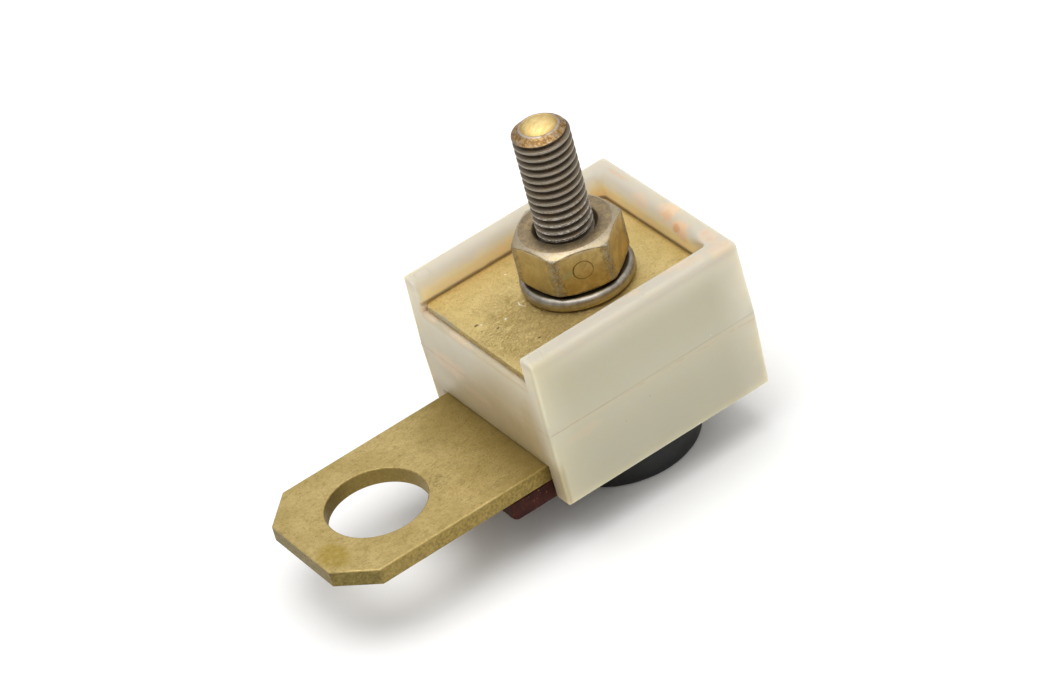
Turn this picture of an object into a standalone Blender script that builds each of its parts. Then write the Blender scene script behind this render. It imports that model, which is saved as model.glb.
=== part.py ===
"""Battery monitor shunt: a moulded block that carries the load stud and clamps a battery terminal bar.

Current enters at the load lug under the nut, crosses the top plate, drops through six manganin rods
inside the block and leaves by the terminal bar, whose hole takes the battery post. The stud is the
shank of one long bolt: a sleeve and a fibre plate keep it and its head apart from the bar.

Frame: origin at the centre of the cap's flat base, on the stud axis. +Z runs up the stud, the
terminal bar points along -X, and +Y is across the block. Units are metres.
"""

import math

import bmesh
import bpy
from mathutils import Matrix, Vector

MM = 0.001
GAP = 0.3 * MM  # kept between every two pieces that touch

# Moulded block: two half shells that meet at the parting plane.
WALL = 4.0 * MM
FLOOR_THICKNESS = 3.0 * MM
BLOCK_FRONT = -22.6 * MM
BLOCK_BACK = 20.4 * MM
BLOCK_HALF_WIDTH = 19.6 * MM
BLOCK_BOTTOM = 9.2 * MM
PARTING = 24.4 * MM
BLOCK_TOP = 39.0 * MM
DRAFT = math.radians(1.0)
CORNER_RADIUS = 1.0 * MM
UPPER_FLOOR = 32.7 * MM  # the seat of the top plate
LOWER_FLOOR = 16.2 * MM  # the seat of the terminal bar
BOSS_RADIUS = 9.2 * MM
PEG_RADIUS = 1.1 * MM
PEG_HEIGHT = 1.6 * MM
PEG_ROOT = 2.0 * MM  # below the parting plane

# Conductors.
TOP_PLATE_THICKNESS = 1.5 * MM
TOP_PLATE_SETBACK = 1.0 * MM
PLATE_CORNER = 1.0 * MM
BAR_THICKNESS = 3.2 * MM
BAR_WIDTH = 30.3 * MM
BAR_FRONT = -62.9 * MM
BAR_BACK = 14.8 * MM
BAR_CHAMFER = 6.2 * MM
POST_HOLE_X = -47.3 * MM
POST_HOLE_RADIUS = 8.9 * MM
ROD_RADIUS = 1.2 * MM
ROD_PITCH = 12.0 * MM
ROD_OFFSET = 12.4 * MM
SENSE_PIN_RADIUS = 0.75 * MM
SENSE_COLLAR_RADIUS = 1.2 * MM
SENSE_PIN_X = 12.5 * MM
SENSE_PIN_Y = 4.5 * MM
SENSE_PIN_STANDOFF = 0.5 * MM  # from the floor to the collar
SENSE_PIN_REACH = 2.6 * MM  # from the collar's foot to the tip
SENSE_PIN_TIP = 0.5 * MM
SENSE_PIN_TIP_SHARE = 0.6
SENSE_COLLAR_EDGE = 0.6 * MM
SENSE_COLLAR_HEIGHT = 0.9 * MM

# Insulators.
SLEEVE_RADIUS = 6.6 * MM
SLEEVE_BORE = 5.3 * MM
FIBRE_THICKNESS = 3.5 * MM
FIBRE_FRONT = -30.6 * MM
CAP_RADIUS = 14.3 * MM
CAP_BASE_WALL = 0.9 * MM
CAP_EDGE = 0.8 * MM
CAP_HEIGHT = 8.6 * MM

# Sense lead outlet.
GROMMET_RADIUS = 2.6 * MM
GROMMET_BORE = 1.5 * MM
GROMMET_FLANGE = 3.8 * MM
GROMMET_FLANGE_THICKNESS = 1.0 * MM

# M10 fasteners.
THREAD_PITCH = 1.5 * MM
THREAD_MAJOR = 4.95 * MM
THREAD_MINOR = 4.08 * MM
THREAD_CLEARANCE = 0.16 * MM
CREST_SHARE = 0.16  # of the pitch, flat at the crest
ROOT_SHARE = 0.26  # of the pitch, flat at the root
RUNOUT_SLOPE = 0.6  # how fast the thread deepens above the plain shank
HEX_ACROSS_FLATS = 17.0 * MM
CHAMFER_RADIUS = 8.02 * MM
CHAMFER_ANGLE = math.radians(30.0)
NUT_HEIGHT = 8.9 * MM
NUT_COUNTERSINK = 5.75 * MM
NUT_TURN = math.radians(10.0)  # one flat faces 20 degrees off -Y
HEAD_HEIGHT = 5.9 * MM
WASHER_RADIUS = 9.95 * MM
WASHER_BORE = 5.3 * MM
STUD_WASHER_THICKNESS = 1.9 * MM
HEAD_WASHER_THICKNESS = 1.2 * MM
WASHER_EDGE = 0.6 * MM
STUD_END = 66.5 * MM
STUD_CHAMFER_HEIGHT = 1.1 * MM
STUD_END_RADIUS = 3.5 * MM
STUD_DOME = 0.5 * MM
STUD_DOME_SHARES = (0.9, 0.6, 0.3)  # of the end's radius, one for each ring of the dome

# Heights that follow from the stack.
TOP_PLATE_BOTTOM = UPPER_FLOOR + GAP
TOP_PLATE_TOP = TOP_PLATE_BOTTOM + TOP_PLATE_THICKNESS
STUD_WASHER_BOTTOM = TOP_PLATE_TOP + GAP
NUT_BOTTOM = STUD_WASHER_BOTTOM + STUD_WASHER_THICKNESS + GAP
NUT_TOP = NUT_BOTTOM + NUT_HEIGHT
BAR_TOP = LOWER_FLOOR - GAP
BAR_BOTTOM = BAR_TOP - BAR_THICKNESS
FIBRE_TOP = BAR_BOTTOM - GAP
FIBRE_BOTTOM = FIBRE_TOP - FIBRE_THICKNESS
HEAD_WASHER_TOP = FIBRE_BOTTOM - GAP
HEAD_WASHER_BOTTOM = HEAD_WASHER_TOP - HEAD_WASHER_THICKNESS
HEAD_TOP = HEAD_WASHER_BOTTOM - GAP
HEAD_BOTTOM = HEAD_TOP - HEAD_HEIGHT
CAP_BORE = WASHER_RADIUS + GAP
THREAD_START = UPPER_FLOOR
BACK_WALL_INSIDE = BLOCK_BACK - WALL

TURNED_STEPS = 48
BORE_STEPS = 32
OUTLET_STEPS = 24
SMALL_STEPS = 20
PEG_STEPS = 16
PLATE_HOLE_STEPS = 40
POST_HOLE_STEPS = 64
THREAD_STEPS = 24
CUT_PAST = 2.0 * MM  # how far a cutter runs past the face that it opens
BITE = 1.0 * MM  # how far a short cutter, or a shape that is added, runs into its neighbour
CLEAR = 0.01 * MM  # keeps a cutter's face off a face that it must not cut
MERGE = 0.002 * MM


# ---------------------------------------------------------------- scene, materials and object helpers

def clear_scene():
    for old in list(bpy.data.objects):
        bpy.data.objects.remove(old, do_unlink=True)


def add_collection(name):
    made = bpy.data.collections.new(name)
    bpy.context.scene.collection.children.link(made)
    return made


def principled(name, colour, roughness, metallic=0.0):
    made = bpy.data.materials.new(name)
    made.use_nodes = True
    shader = made.node_tree.nodes["Principled BSDF"]
    shader.inputs["Base Color"].default_value = (*colour, 1.0)
    shader.inputs["Roughness"].default_value = roughness
    shader.inputs["Metallic"].default_value = metallic
    made.diffuse_color = (*colour, 1.0)
    return made


def add_object(name, mesh, group, material=None):
    made = bpy.data.objects.new(name, mesh)
    group.objects.link(made)
    if material:
        mesh.materials.append(material)
    if group is cutters:
        made.hide_render = True
        made.display_type = "WIRE"
    return made


def object_from_bmesh(name, shape, group, material=None):
    mesh = bpy.data.meshes.new(name)
    bmesh.ops.recalc_face_normals(shape, faces=shape.faces)
    shape.to_mesh(mesh)
    shape.free()
    return add_object(name, mesh, group, material)


def smooth(piece, degrees=35.0):
    piece.data.shade_smooth()
    piece.data.set_sharp_from_angle(angle=math.radians(degrees))
    return piece


def combine(piece, tool, operation="DIFFERENCE"):
    step = piece.modifiers.new(f"{operation.lower()} {tool.name}", "BOOLEAN")
    step.operation = operation
    step.solver = "EXACT"
    step.object = tool
    return piece


# ---------------------------------------------------------------- basic shapes

def box(name, low, high, group, material=None):
    size = Vector(high) - Vector(low)
    centre = (Vector(high) + Vector(low)) / 2
    shape = bmesh.new()
    bmesh.ops.create_cube(shape, size=1.0)
    bmesh.ops.scale(shape, vec=size, verts=shape.verts)
    bmesh.ops.translate(shape, vec=centre, verts=shape.verts)
    return object_from_bmesh(name, shape, group, material)


def cylinder(name, radius, low, high, place, group, material=None, steps=SMALL_STEPS):
    """A cylinder along Z between two heights in either order, standing at place (x, y)."""
    shape = bmesh.new()
    middle = Matrix.Translation((place[0], place[1], (low + high) / 2))
    bmesh.ops.create_cone(
        shape,
        cap_ends=True,
        segments=steps,
        radius1=radius,
        radius2=radius,
        depth=abs(high - low),
        matrix=middle,
    )
    return object_from_bmesh(name, shape, group, material)


def turned(name, profile, group, material=None, steps=TURNED_STEPS, closed=True):
    """A solid of revolution about Z. The profile's (radius, z) points run down the outer side."""
    mesh = bpy.data.meshes.new(name)
    count = len(profile)
    edges = [(i, (i + 1) % count) for i in range(count if closed else count - 1)]
    mesh.from_pydata([(radius, 0.0, z) for radius, z in profile], edges, [])
    made = add_object(name, mesh, group, material)
    spin = made.modifiers.new("turn", "SCREW")
    spin.axis = "Z"
    spin.steps = steps
    spin.render_steps = steps
    spin.use_merge_vertices = True
    spin.merge_threshold = 0.01 * MM
    return made


def corner_arc(centre, radius, start, steps=4):
    """A quarter circle of (radius, z) points, turning clockwise from start degrees about its centre."""
    turns = [math.radians(start - 90.0 * i / steps) for i in range(steps + 1)]
    return [(centre[0] + radius * math.cos(a), centre[1] + radius * math.sin(a)) for a in turns]


def ring_profile(bore, radius, low, high):
    return [(bore, high), (radius, high), (radius, low), (bore, low)]


def rounded_ring_profile(bore, radius, low, high, edge):
    """A washer's section whose two outer corners are rounded by edge."""
    upper = corner_arc((radius - edge, high - edge), edge, 90.0)
    lower = corner_arc((radius - edge, low + edge), edge, 0.0)
    return [(bore, high), *upper, *lower, (bore, low)]


def circle_points(centre_x, radius, steps):
    turns = (2 * math.pi * i / steps for i in range(steps))
    return [(centre_x + radius * math.cos(turn), radius * math.sin(turn)) for turn in turns]


def rounded_rectangle(low, high, radius, steps=4):
    """The outline between two corners (x, y), whose four corners are rounded."""
    centres = (
        (low[0] + radius, low[1] + radius),
        (high[0] - radius, low[1] + radius),
        (high[0] - radius, high[1] - radius),
        (low[0] + radius, high[1] - radius),
    )
    points = []
    for index, (x, y) in enumerate(centres):
        for i in range(steps + 1):
            turn = math.pi + (index + i / steps) * math.pi / 2
            points.append((x + radius * math.cos(turn), y + radius * math.sin(turn)))
    return points


def flat_plate(name, outlines, low, thickness, group, material):
    """A plate cut from sheet: the first outline is its edge and the others are its holes."""
    curve = bpy.data.curves.new(name, "CURVE")
    curve.dimensions = "2D"
    curve.fill_mode = "BOTH"
    curve.extrude = thickness / 2
    for outline in outlines:
        spline = curve.splines.new("POLY")
        spline.points.add(len(outline) - 1)
        for point, (x, y) in zip(spline.points, outline):
            point.co = (x, y, 0.0, 1.0)
        spline.use_cyclic_u = True
    guide = bpy.data.objects.new(name + "_outline", curve)
    bpy.context.scene.collection.objects.link(guide)
    guide.location.z = low + thickness / 2
    bpy.context.view_layer.update()
    evaluated = guide.evaluated_get(bpy.context.evaluated_depsgraph_get())
    mesh = bpy.data.meshes.new_from_object(evaluated)
    mesh.name = name
    shape = bmesh.new()
    shape.from_mesh(mesh)
    bmesh.ops.remove_doubles(shape, verts=shape.verts, dist=MERGE)
    bmesh.ops.recalc_face_normals(shape, faces=shape.faces)
    shape.to_mesh(mesh)
    shape.free()
    made = add_object(name, mesh, group, material)
    made.matrix_world = guide.matrix_world.copy()
    bpy.data.objects.remove(guide, do_unlink=True)
    return made


# ---------------------------------------------------------------- threads and hexagons

def thread_radius(phase, extra):
    """The thread's radius at a phase of 0 to 1 along one pitch, with the crest centred on 0."""
    across = min(phase % 1.0, 1.0 - phase % 1.0)
    flank = 0.5 - (CREST_SHARE + ROOT_SHARE) / 2
    share = min(max((across - CREST_SHARE / 2) / flank, 0.0), 1.0)
    return THREAD_MAJOR + extra - share * (THREAD_MAJOR - THREAD_MINOR)


def rod_radius(z, turn, start, high, extra, end_radius):
    """The rod's radius at a height and a share of a turn: the thread, its runout and the end's chamfer."""
    full = THREAD_MAJOR + extra
    threaded = thread_radius(z / THREAD_PITCH - turn, extra)
    runout = full - (z - start) * RUNOUT_SLOPE
    chamfer = end_radius + (high - z) * (full - end_radius) / STUD_CHAMFER_HEIGHT
    return min(max(threaded, runout), chamfer)


def thread_wall(start, high, extra, end_radius):
    """The open wall of a right-hand thread, in columns round the axis that each start a little higher."""
    marks = (CREST_SHARE / 2, 0.5 - ROOT_SHARE / 2, 0.5 + ROOT_SHARE / 2, 1.0 - CREST_SHARE / 2)
    first = math.floor(start / THREAD_PITCH) - 2
    last = math.ceil(high / THREAD_PITCH) + 1
    phases = [whole + mark for whole in range(first, last) for mark in marks]
    shape = bmesh.new()
    columns = []
    for column in range(THREAD_STEPS):
        turn = column / THREAD_STEPS
        angle = 2 * math.pi * turn
        columns.append([])
        for phase in phases:
            z = min(max((phase + turn) * THREAD_PITCH, start), high)
            radius = rod_radius(z, turn, start, high, extra, end_radius)
            vertex = shape.verts.new((radius * math.cos(angle), radius * math.sin(angle), z))
            columns[-1].append(vertex)
    columns.append(columns[0][len(marks):])
    for here, beside in zip(columns, columns[1:]):
        for corners in zip(here, beside, beside[1:], here[1:]):
            shape.faces.new(corners)
    bmesh.ops.remove_doubles(shape, verts=shape.verts, dist=MERGE)
    bmesh.ops.dissolve_degenerate(shape, edges=shape.edges, dist=MERGE)
    return shape


def stretch_rim(shape, edges, scale, lift):
    """Extrudes an open rim, scales it about the axis and lifts it. Returns the new rim's edges."""
    made = bmesh.ops.extrude_edge_only(shape, edges=edges)["geom"]
    verts = [part for part in made if isinstance(part, bmesh.types.BMVert)]
    bmesh.ops.scale(shape, vec=(scale, scale, 1.0), verts=verts)
    bmesh.ops.translate(shape, vec=(0, 0, lift), verts=verts)
    return [part for part in made if isinstance(part, bmesh.types.BMEdge)]


def threaded_rod(name, low, start, high, group, extra=0.0, end=()):
    """A right-hand M10 rod, plain from low to start. Its end closes through (radius, z) rings."""
    shape = thread_wall(start, high, extra, end[0][0] if end else THREAD_MAJOR + extra)
    rims = [edge for edge in shape.edges if edge.is_boundary]
    middle = (start + high) / 2
    lower = [edge for edge in rims if edge.verts[0].co.z < middle]
    upper = [edge for edge in rims if edge.verts[0].co.z >= middle]
    bmesh.ops.holes_fill(shape, edges=stretch_rim(shape, lower, 1.0, low - start))
    for (radius, z), (next_radius, next_z) in zip(end, end[1:]):
        upper = stretch_rim(shape, upper, next_radius / radius, next_z - z)
    bmesh.ops.holes_fill(shape, edges=upper)
    return object_from_bmesh(name, shape, group)


def stud_end_rings():
    """The stud's end above its chamfer: a rim and a shallow dome."""
    rings = [(STUD_END_RADIUS, STUD_END)]
    for share in STUD_DOME_SHARES:
        rings.append((STUD_END_RADIUS * share, STUD_END + STUD_DOME * (1.0 - share * share)))
    return rings


def hexagon(name, low, high, group, material=None, turn=0.0):
    """A hexagonal prism, chamfered at 30 degrees at both ends."""
    corner = HEX_ACROSS_FLATS / math.sqrt(3.0)
    shape = bmesh.new()
    place = Matrix.Translation((0, 0, (low + high) / 2)) @ Matrix.Rotation(turn, 4, "Z")
    bmesh.ops.create_cone(
        shape, cap_ends=True, segments=6, radius1=corner, radius2=corner, depth=high - low, matrix=place
    )
    made = object_from_bmesh(name, shape, group, material)
    reach = corner + CUT_PAST
    drop = (reach - CHAMFER_RADIUS) * math.tan(CHAMFER_ANGLE)
    profile = [
        (0.0, high + CLEAR),
        (CHAMFER_RADIUS, high + CLEAR),
        (reach, high + CLEAR - drop),
        (reach, low - CLEAR + drop),
        (CHAMFER_RADIUS, low - CLEAR),
        (0.0, low - CLEAR),
    ]
    trim = turned(name + "_chamfer", profile, cutters, closed=False)
    return combine(made, trim, "INTERSECT")


# ---------------------------------------------------------------- the moulded block

def drafted_shell(name, at_parting, at_rim):
    """A solid half block, narrower at its rim than at the parting plane, with rounded corners."""
    shape = bmesh.new()
    bmesh.ops.create_cube(shape, size=1.0)
    inset = abs(at_rim - at_parting) * math.tan(DRAFT)
    for vertex in shape.verts:
        on_rim = (vertex.co.z > 0) == (at_rim > at_parting)
        pull = inset if on_rim else 0.0
        vertex.co.x = BLOCK_BACK - pull if vertex.co.x > 0 else BLOCK_FRONT + pull
        vertex.co.y = math.copysign(BLOCK_HALF_WIDTH - pull, vertex.co.y)
        vertex.co.z = at_rim if on_rim else at_parting
    upright = [e for e in shape.edges if abs(e.verts[0].co.z - e.verts[1].co.z) > BITE]
    bmesh.ops.bevel(shape, geom=upright, offset=CORNER_RADIUS, segments=3, profile=0.5, affect="EDGES")
    return object_from_bmesh(name, shape, parts, ivory)


def hollow(name, front, start, end):
    """A cutter between the side walls and up to the back wall, from one height to another."""
    side_wall = BLOCK_HALF_WIDTH - WALL
    return box(name, (front, -side_wall, start), (BACK_WALL_INSIDE, side_wall, end), cutters)


def half_shell(name, at_parting, at_rim, floor):
    """One moulding: a floor between a pocket that is open outside and a cavity inside."""
    side = math.copysign(1.0, at_rim - at_parting)
    inside = floor - side * FLOOR_THICKNESS
    past_rim = at_rim + side * CUT_PAST
    past_parting = at_parting - side * CUT_PAST
    shell = drafted_shell(name, at_parting, at_rim)
    combine(shell, hollow(name + "_pocket", BLOCK_FRONT - CUT_PAST, floor, past_rim))
    combine(shell, hollow(name + "_cavity", BLOCK_FRONT + WALL, inside, past_parting))
    add_boss(shell, inside + side * BITE, at_parting, past_parting, past_rim)
    pin_place = (SENSE_PIN_X, side * SENSE_PIN_Y)
    ways = [(place, ROD_RADIUS) for place in rod_places()] + [(pin_place, SENSE_PIN_RADIUS)]
    for number, (place, radius) in enumerate(ways, 1):
        way = cylinder(
            f"{name}_way_{number}", radius + GAP, floor + side * BITE, inside - side * BITE, place, cutters
        )
        combine(shell, way)
    cut_outlet(shell)
    return smooth(shell)


def add_boss(shell, foot, head, past_head, past_foot):
    """The boss round the sleeve, and the way through it for the bolt."""
    axis = (0.0, 0.0)
    boss = cylinder(shell.name + "_boss", BOSS_RADIUS, foot, head, axis, cutters, steps=BORE_STEPS)
    combine(shell, boss, "UNION")
    bore = SLEEVE_RADIUS + GAP
    way = cylinder(shell.name + "_bolt_way", bore, past_head, past_foot, axis, cutters, steps=BORE_STEPS)
    combine(shell, way)


def cut_outlet(shell):
    """Half of the sense lead's outlet, which lies on the parting plane in the back wall."""
    radius = GROMMET_RADIUS + GAP
    outlet = cylinder(shell.name + "_outlet", radius, -WALL, WALL, (0, 0), cutters, steps=OUTLET_STEPS)
    outlet.matrix_world = lying_along_x(BLOCK_BACK - WALL / 2, PARTING)
    combine(shell, outlet)


def lying_along_x(x, z):
    """Turns a shape made along Z so that it points along X, and moves it."""
    return Matrix.Translation((x, 0, z)) @ Matrix.Rotation(math.pi / 2, 4, "Y")


def peg_places():
    """Two opposite corners of the wall, where a peg of the lower shell enters the upper one."""
    x_front = BLOCK_FRONT + WALL / 2
    x_back = BLOCK_BACK - WALL / 2
    y = BLOCK_HALF_WIDTH - WALL / 2
    return ((x_front, y), (x_back, -y))


def build_housing():
    upper = half_shell("upper_housing", PARTING + GAP / 2, BLOCK_TOP, UPPER_FLOOR)
    lower = half_shell("lower_housing", PARTING - GAP / 2, BLOCK_BOTTOM, LOWER_FLOOR)
    foot = PARTING - PEG_ROOT
    head = PARTING + PEG_HEIGHT
    for number, place in enumerate(peg_places(), 1):
        peg = cylinder(f"peg_{number}", PEG_RADIUS, foot, head, place, cutters, steps=PEG_STEPS)
        combine(lower, peg, "UNION")
        radius = PEG_RADIUS + GAP
        socket = cylinder(f"socket_{number}", radius, foot, head + GAP, place, cutters, steps=PEG_STEPS)
        combine(upper, socket)


# ---------------------------------------------------------------- conductors

def rod_places():
    return [(column * ROD_PITCH, row * ROD_OFFSET) for row in (-1, 1) for column in (-1, 0, 1)]


def build_top_plate():
    half = BLOCK_HALF_WIDTH - WALL - GAP
    low = (BLOCK_FRONT + TOP_PLATE_SETBACK, -half)
    high = (BACK_WALL_INSIDE - GAP, half)
    outlines = (rounded_rectangle(low, high, PLATE_CORNER), circle_points(0.0, WASHER_BORE, PLATE_HOLE_STEPS))
    flat_plate("top_terminal_plate", outlines, TOP_PLATE_BOTTOM, TOP_PLATE_THICKNESS, parts, brass)


def build_terminal_bar():
    half = BAR_WIDTH / 2
    edge = [
        (BAR_BACK, -half),
        (BAR_BACK, half),
        (BAR_FRONT + BAR_CHAMFER, half),
        (BAR_FRONT, half - BAR_CHAMFER),
        (BAR_FRONT, -half + BAR_CHAMFER),
        (BAR_FRONT + BAR_CHAMFER, -half),
    ]
    post_hole = circle_points(POST_HOLE_X, POST_HOLE_RADIUS, POST_HOLE_STEPS)
    bolt_hole = circle_points(0.0, SLEEVE_RADIUS + GAP, PLATE_HOLE_STEPS)
    flat_plate("terminal_bar", (edge, post_hole, bolt_hole), BAR_BOTTOM, BAR_THICKNESS, parts, dull_brass)


def build_rods():
    for number, place in enumerate(rod_places(), 1):
        low, high = BAR_TOP + GAP, TOP_PLATE_BOTTOM - GAP
        smooth(cylinder(f"resistor_rod_{number}", ROD_RADIUS, low, high, place, parts, manganin))


def build_sense_pins():
    """Potential taps inside the block: one hangs from the top plate, the other stands on the bar."""
    sense_pin("sense_pin_upper", TOP_PLATE_BOTTOM - GAP, -1.0, SENSE_PIN_Y)
    sense_pin("sense_pin_lower", BAR_TOP + GAP, 1.0, -SENSE_PIN_Y)


def sense_pin(name, foot, way, y):
    """A turned pin with a collar for the lead, pointing up where way is 1 and down where it is -1."""
    collar = foot + way * (FLOOR_THICKNESS + SENSE_PIN_STANDOFF)
    tip = collar + way * SENSE_PIN_REACH
    profile = [
        (0.0, foot),
        (SENSE_PIN_RADIUS, foot),
        (SENSE_PIN_RADIUS, collar),
        (SENSE_COLLAR_RADIUS, collar),
        (SENSE_COLLAR_RADIUS, collar + way * SENSE_COLLAR_EDGE),
        (SENSE_PIN_RADIUS, collar + way * SENSE_COLLAR_HEIGHT),
        (SENSE_PIN_RADIUS, tip - way * SENSE_PIN_TIP),
        (SENSE_PIN_RADIUS * SENSE_PIN_TIP_SHARE, tip),
        (0.0, tip),
    ]
    if way > 0:
        profile.reverse()
    pin = turned(name, profile, parts, brass, steps=SMALL_STEPS, closed=False)
    pin.location = (SENSE_PIN_X, y, 0.0)


# ---------------------------------------------------------------- insulators

def build_sleeve():
    low = HEAD_WASHER_TOP + GAP
    high = TOP_PLATE_BOTTOM - GAP
    turned("bolt_sleeve", ring_profile(SLEEVE_BORE, SLEEVE_RADIUS, low, high), parts, phenolic)


def build_fibre_plate():
    edge = rounded_rectangle((FIBRE_FRONT, -BAR_WIDTH / 2), (BAR_BACK, BAR_WIDTH / 2), PLATE_CORNER)
    hole = circle_points(0.0, SLEEVE_RADIUS + GAP, PLATE_HOLE_STEPS)
    flat_plate("base_insulator", (edge, hole), FIBRE_BOTTOM, FIBRE_THICKNESS, parts, fibre)


def build_cap():
    """A cup that covers the bolt head. Its mouth faces up, against the fibre plate."""
    inside = [(0.0, CAP_BASE_WALL), (CAP_BORE, CAP_BASE_WALL), (CAP_BORE, CAP_HEIGHT)]
    lower_edge = corner_arc((CAP_RADIUS - CAP_EDGE, CAP_EDGE), CAP_EDGE, 0.0)
    outside = [(CAP_RADIUS, CAP_HEIGHT), *lower_edge, (0.0, 0.0)]
    turned("bolt_cap", inside + outside, parts, black, closed=False)


def build_grommet():
    """A flanged rubber ring that lines the outlet of the sense lead in the back wall."""
    inner = BACK_WALL_INSIDE - GAP
    outer = BLOCK_BACK + GAP
    front = inner - GROMMET_FLANGE_THICKNESS
    back = outer + GROMMET_FLANGE_THICKNESS
    profile = [
        (GROMMET_BORE, back),
        (GROMMET_FLANGE, back),
        (GROMMET_FLANGE, outer),
        (GROMMET_RADIUS, outer),
        (GROMMET_RADIUS, inner),
        (GROMMET_FLANGE, inner),
        (GROMMET_FLANGE, front),
        (GROMMET_BORE, front),
    ]
    ring = turned("lead_grommet", profile, parts, black, steps=OUTLET_STEPS)
    ring.matrix_world = lying_along_x(0.0, PARTING)


# ---------------------------------------------------------------- fasteners

def build_bolt():
    bolt = hexagon("terminal_bolt", HEAD_BOTTOM, HEAD_TOP, parts, steel)
    foot = (HEAD_BOTTOM + HEAD_TOP) / 2
    shank = threaded_rod("bolt_shank", foot, THREAD_START, STUD_END, cutters, end=stud_end_rings())
    smooth(combine(bolt, shank, "UNION"))


def build_nut():
    nut = hexagon("lock_nut", NUT_BOTTOM, NUT_TOP, parts, zinc, turn=NUT_TURN)
    start = NUT_BOTTOM - CUT_PAST
    tap = threaded_rod(
        "nut_tap", start - CUT_PAST, start, NUT_TOP + CUT_PAST, cutters, extra=THREAD_CLEARANCE
    )
    combine(nut, tap)
    combine(nut, countersink("nut_sink_top", NUT_TOP, 1.0))
    combine(nut, countersink("nut_sink_bottom", NUT_BOTTOM, -1.0))
    smooth(nut)


def countersink(name, face, way):
    """A 45 degree cone into a face of the nut. The face looks up where way is 1 and down where it is -1."""
    depth = NUT_COUNTERSINK - THREAD_MINOR
    profile = [
        (0.0, face + way * CUT_PAST),
        (NUT_COUNTERSINK + CUT_PAST, face + way * CUT_PAST),
        (THREAD_MINOR, face - way * depth),
        (0.0, face - way * depth),
    ]
    if way < 0:
        profile.reverse()
    return turned(name, profile, cutters, closed=False)


def build_washers():
    high = STUD_WASHER_BOTTOM + STUD_WASHER_THICKNESS
    section = rounded_ring_profile(WASHER_BORE, WASHER_RADIUS, STUD_WASHER_BOTTOM, high, WASHER_EDGE)
    turned("stud_washer", section, parts, bright_steel)
    section = ring_profile(WASHER_BORE, WASHER_RADIUS, HEAD_WASHER_BOTTOM, HEAD_WASHER_TOP)
    turned("head_washer", section, parts, bright_steel)


clear_scene()
parts = add_collection("battery_monitor_shunt")
cutters = add_collection("cutters")
ivory = principled("ivory_nylon", (0.72, 0.68, 0.55), 0.45)
brass = principled("brass_sheet", (0.56, 0.42, 0.14), 0.38, 1.0)
dull_brass = principled("brass_bar", (0.45, 0.36, 0.15), 0.48, 1.0)
manganin = principled("manganin", (0.50, 0.38, 0.28), 0.40, 1.0)
fibre = principled("red_fibre", (0.10, 0.016, 0.010), 0.50)
phenolic = principled("phenolic", (0.20, 0.09, 0.03), 0.50)
black = principled("black_rubber", (0.012, 0.012, 0.013), 0.42)
steel = principled("rolled_steel", (0.30, 0.26, 0.21), 0.35, 1.0)
bright_steel = principled("washer_steel", (0.42, 0.38, 0.32), 0.30, 1.0)
zinc = principled("yellow_zinc", (0.46, 0.35, 0.20), 0.40, 1.0)
build_housing()
build_top_plate()
build_terminal_bar()
build_rods()
build_sense_pins()
build_sleeve()
build_fibre_plate()
build_cap()
build_grommet()
build_bolt()
build_nut()
build_washers()
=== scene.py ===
"""Battery monitor shunt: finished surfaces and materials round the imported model.

Everything is in metres in the row frame: the origin is the centre of the cap's base, +Z runs up the
stud, the terminal bar points along -X and +Y is across the block.
"""

import math

import bmesh
import bpy
from mathutils import Matrix, Vector


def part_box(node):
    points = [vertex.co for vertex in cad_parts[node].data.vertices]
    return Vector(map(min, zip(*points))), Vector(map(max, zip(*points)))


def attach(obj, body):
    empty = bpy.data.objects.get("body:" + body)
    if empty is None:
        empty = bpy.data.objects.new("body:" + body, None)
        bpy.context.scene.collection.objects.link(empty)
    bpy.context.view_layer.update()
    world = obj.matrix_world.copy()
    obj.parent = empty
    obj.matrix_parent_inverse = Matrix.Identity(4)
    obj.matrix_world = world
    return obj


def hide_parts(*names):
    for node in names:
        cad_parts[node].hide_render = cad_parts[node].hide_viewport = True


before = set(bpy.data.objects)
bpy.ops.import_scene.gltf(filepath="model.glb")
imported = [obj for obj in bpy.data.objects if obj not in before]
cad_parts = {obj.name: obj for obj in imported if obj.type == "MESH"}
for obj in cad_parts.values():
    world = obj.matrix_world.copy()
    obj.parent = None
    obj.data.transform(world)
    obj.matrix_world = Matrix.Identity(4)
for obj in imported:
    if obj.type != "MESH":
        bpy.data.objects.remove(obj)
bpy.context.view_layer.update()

MM = 0.001
BLOCK_BODY = "shunt_block"
WASHER_BODY = "stud_washer_body"
NUT_BODY = "lock_nut_body"
TOUCH = 0.02 * MM  # left between two finished pieces that rest on each other

# Camera, as a place, a point in the middle of its view, and a roll to its left.
CAMERA_PLACE = Vector((-311.18, -622.45, 532.15)) * MM
CAMERA_TARGET = Vector((-9.13, 8.92, 20.0)) * MM
CAMERA_ROLL = math.radians(-15.586)
CAMERA_LENS = 175.177  # mm, on a 36 mm sensor

# Sky brightness at the horizon and overhead.
SKY_LOW = 0.35
SKY_HIGH = 1.0
SKY_AXIS = (0.10, -0.02, 1.0)
SKY_TOP = 0.9  # height at which the sky is brightest
LAMP_PLACE = Vector((-0.12, -0.05, 0.95))
LAMP_TARGET = Vector((-0.01, 0.0, 0.03))
LAMP_WIDTH = 0.9
LAMP_POWER = 5.0  # watts

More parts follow.
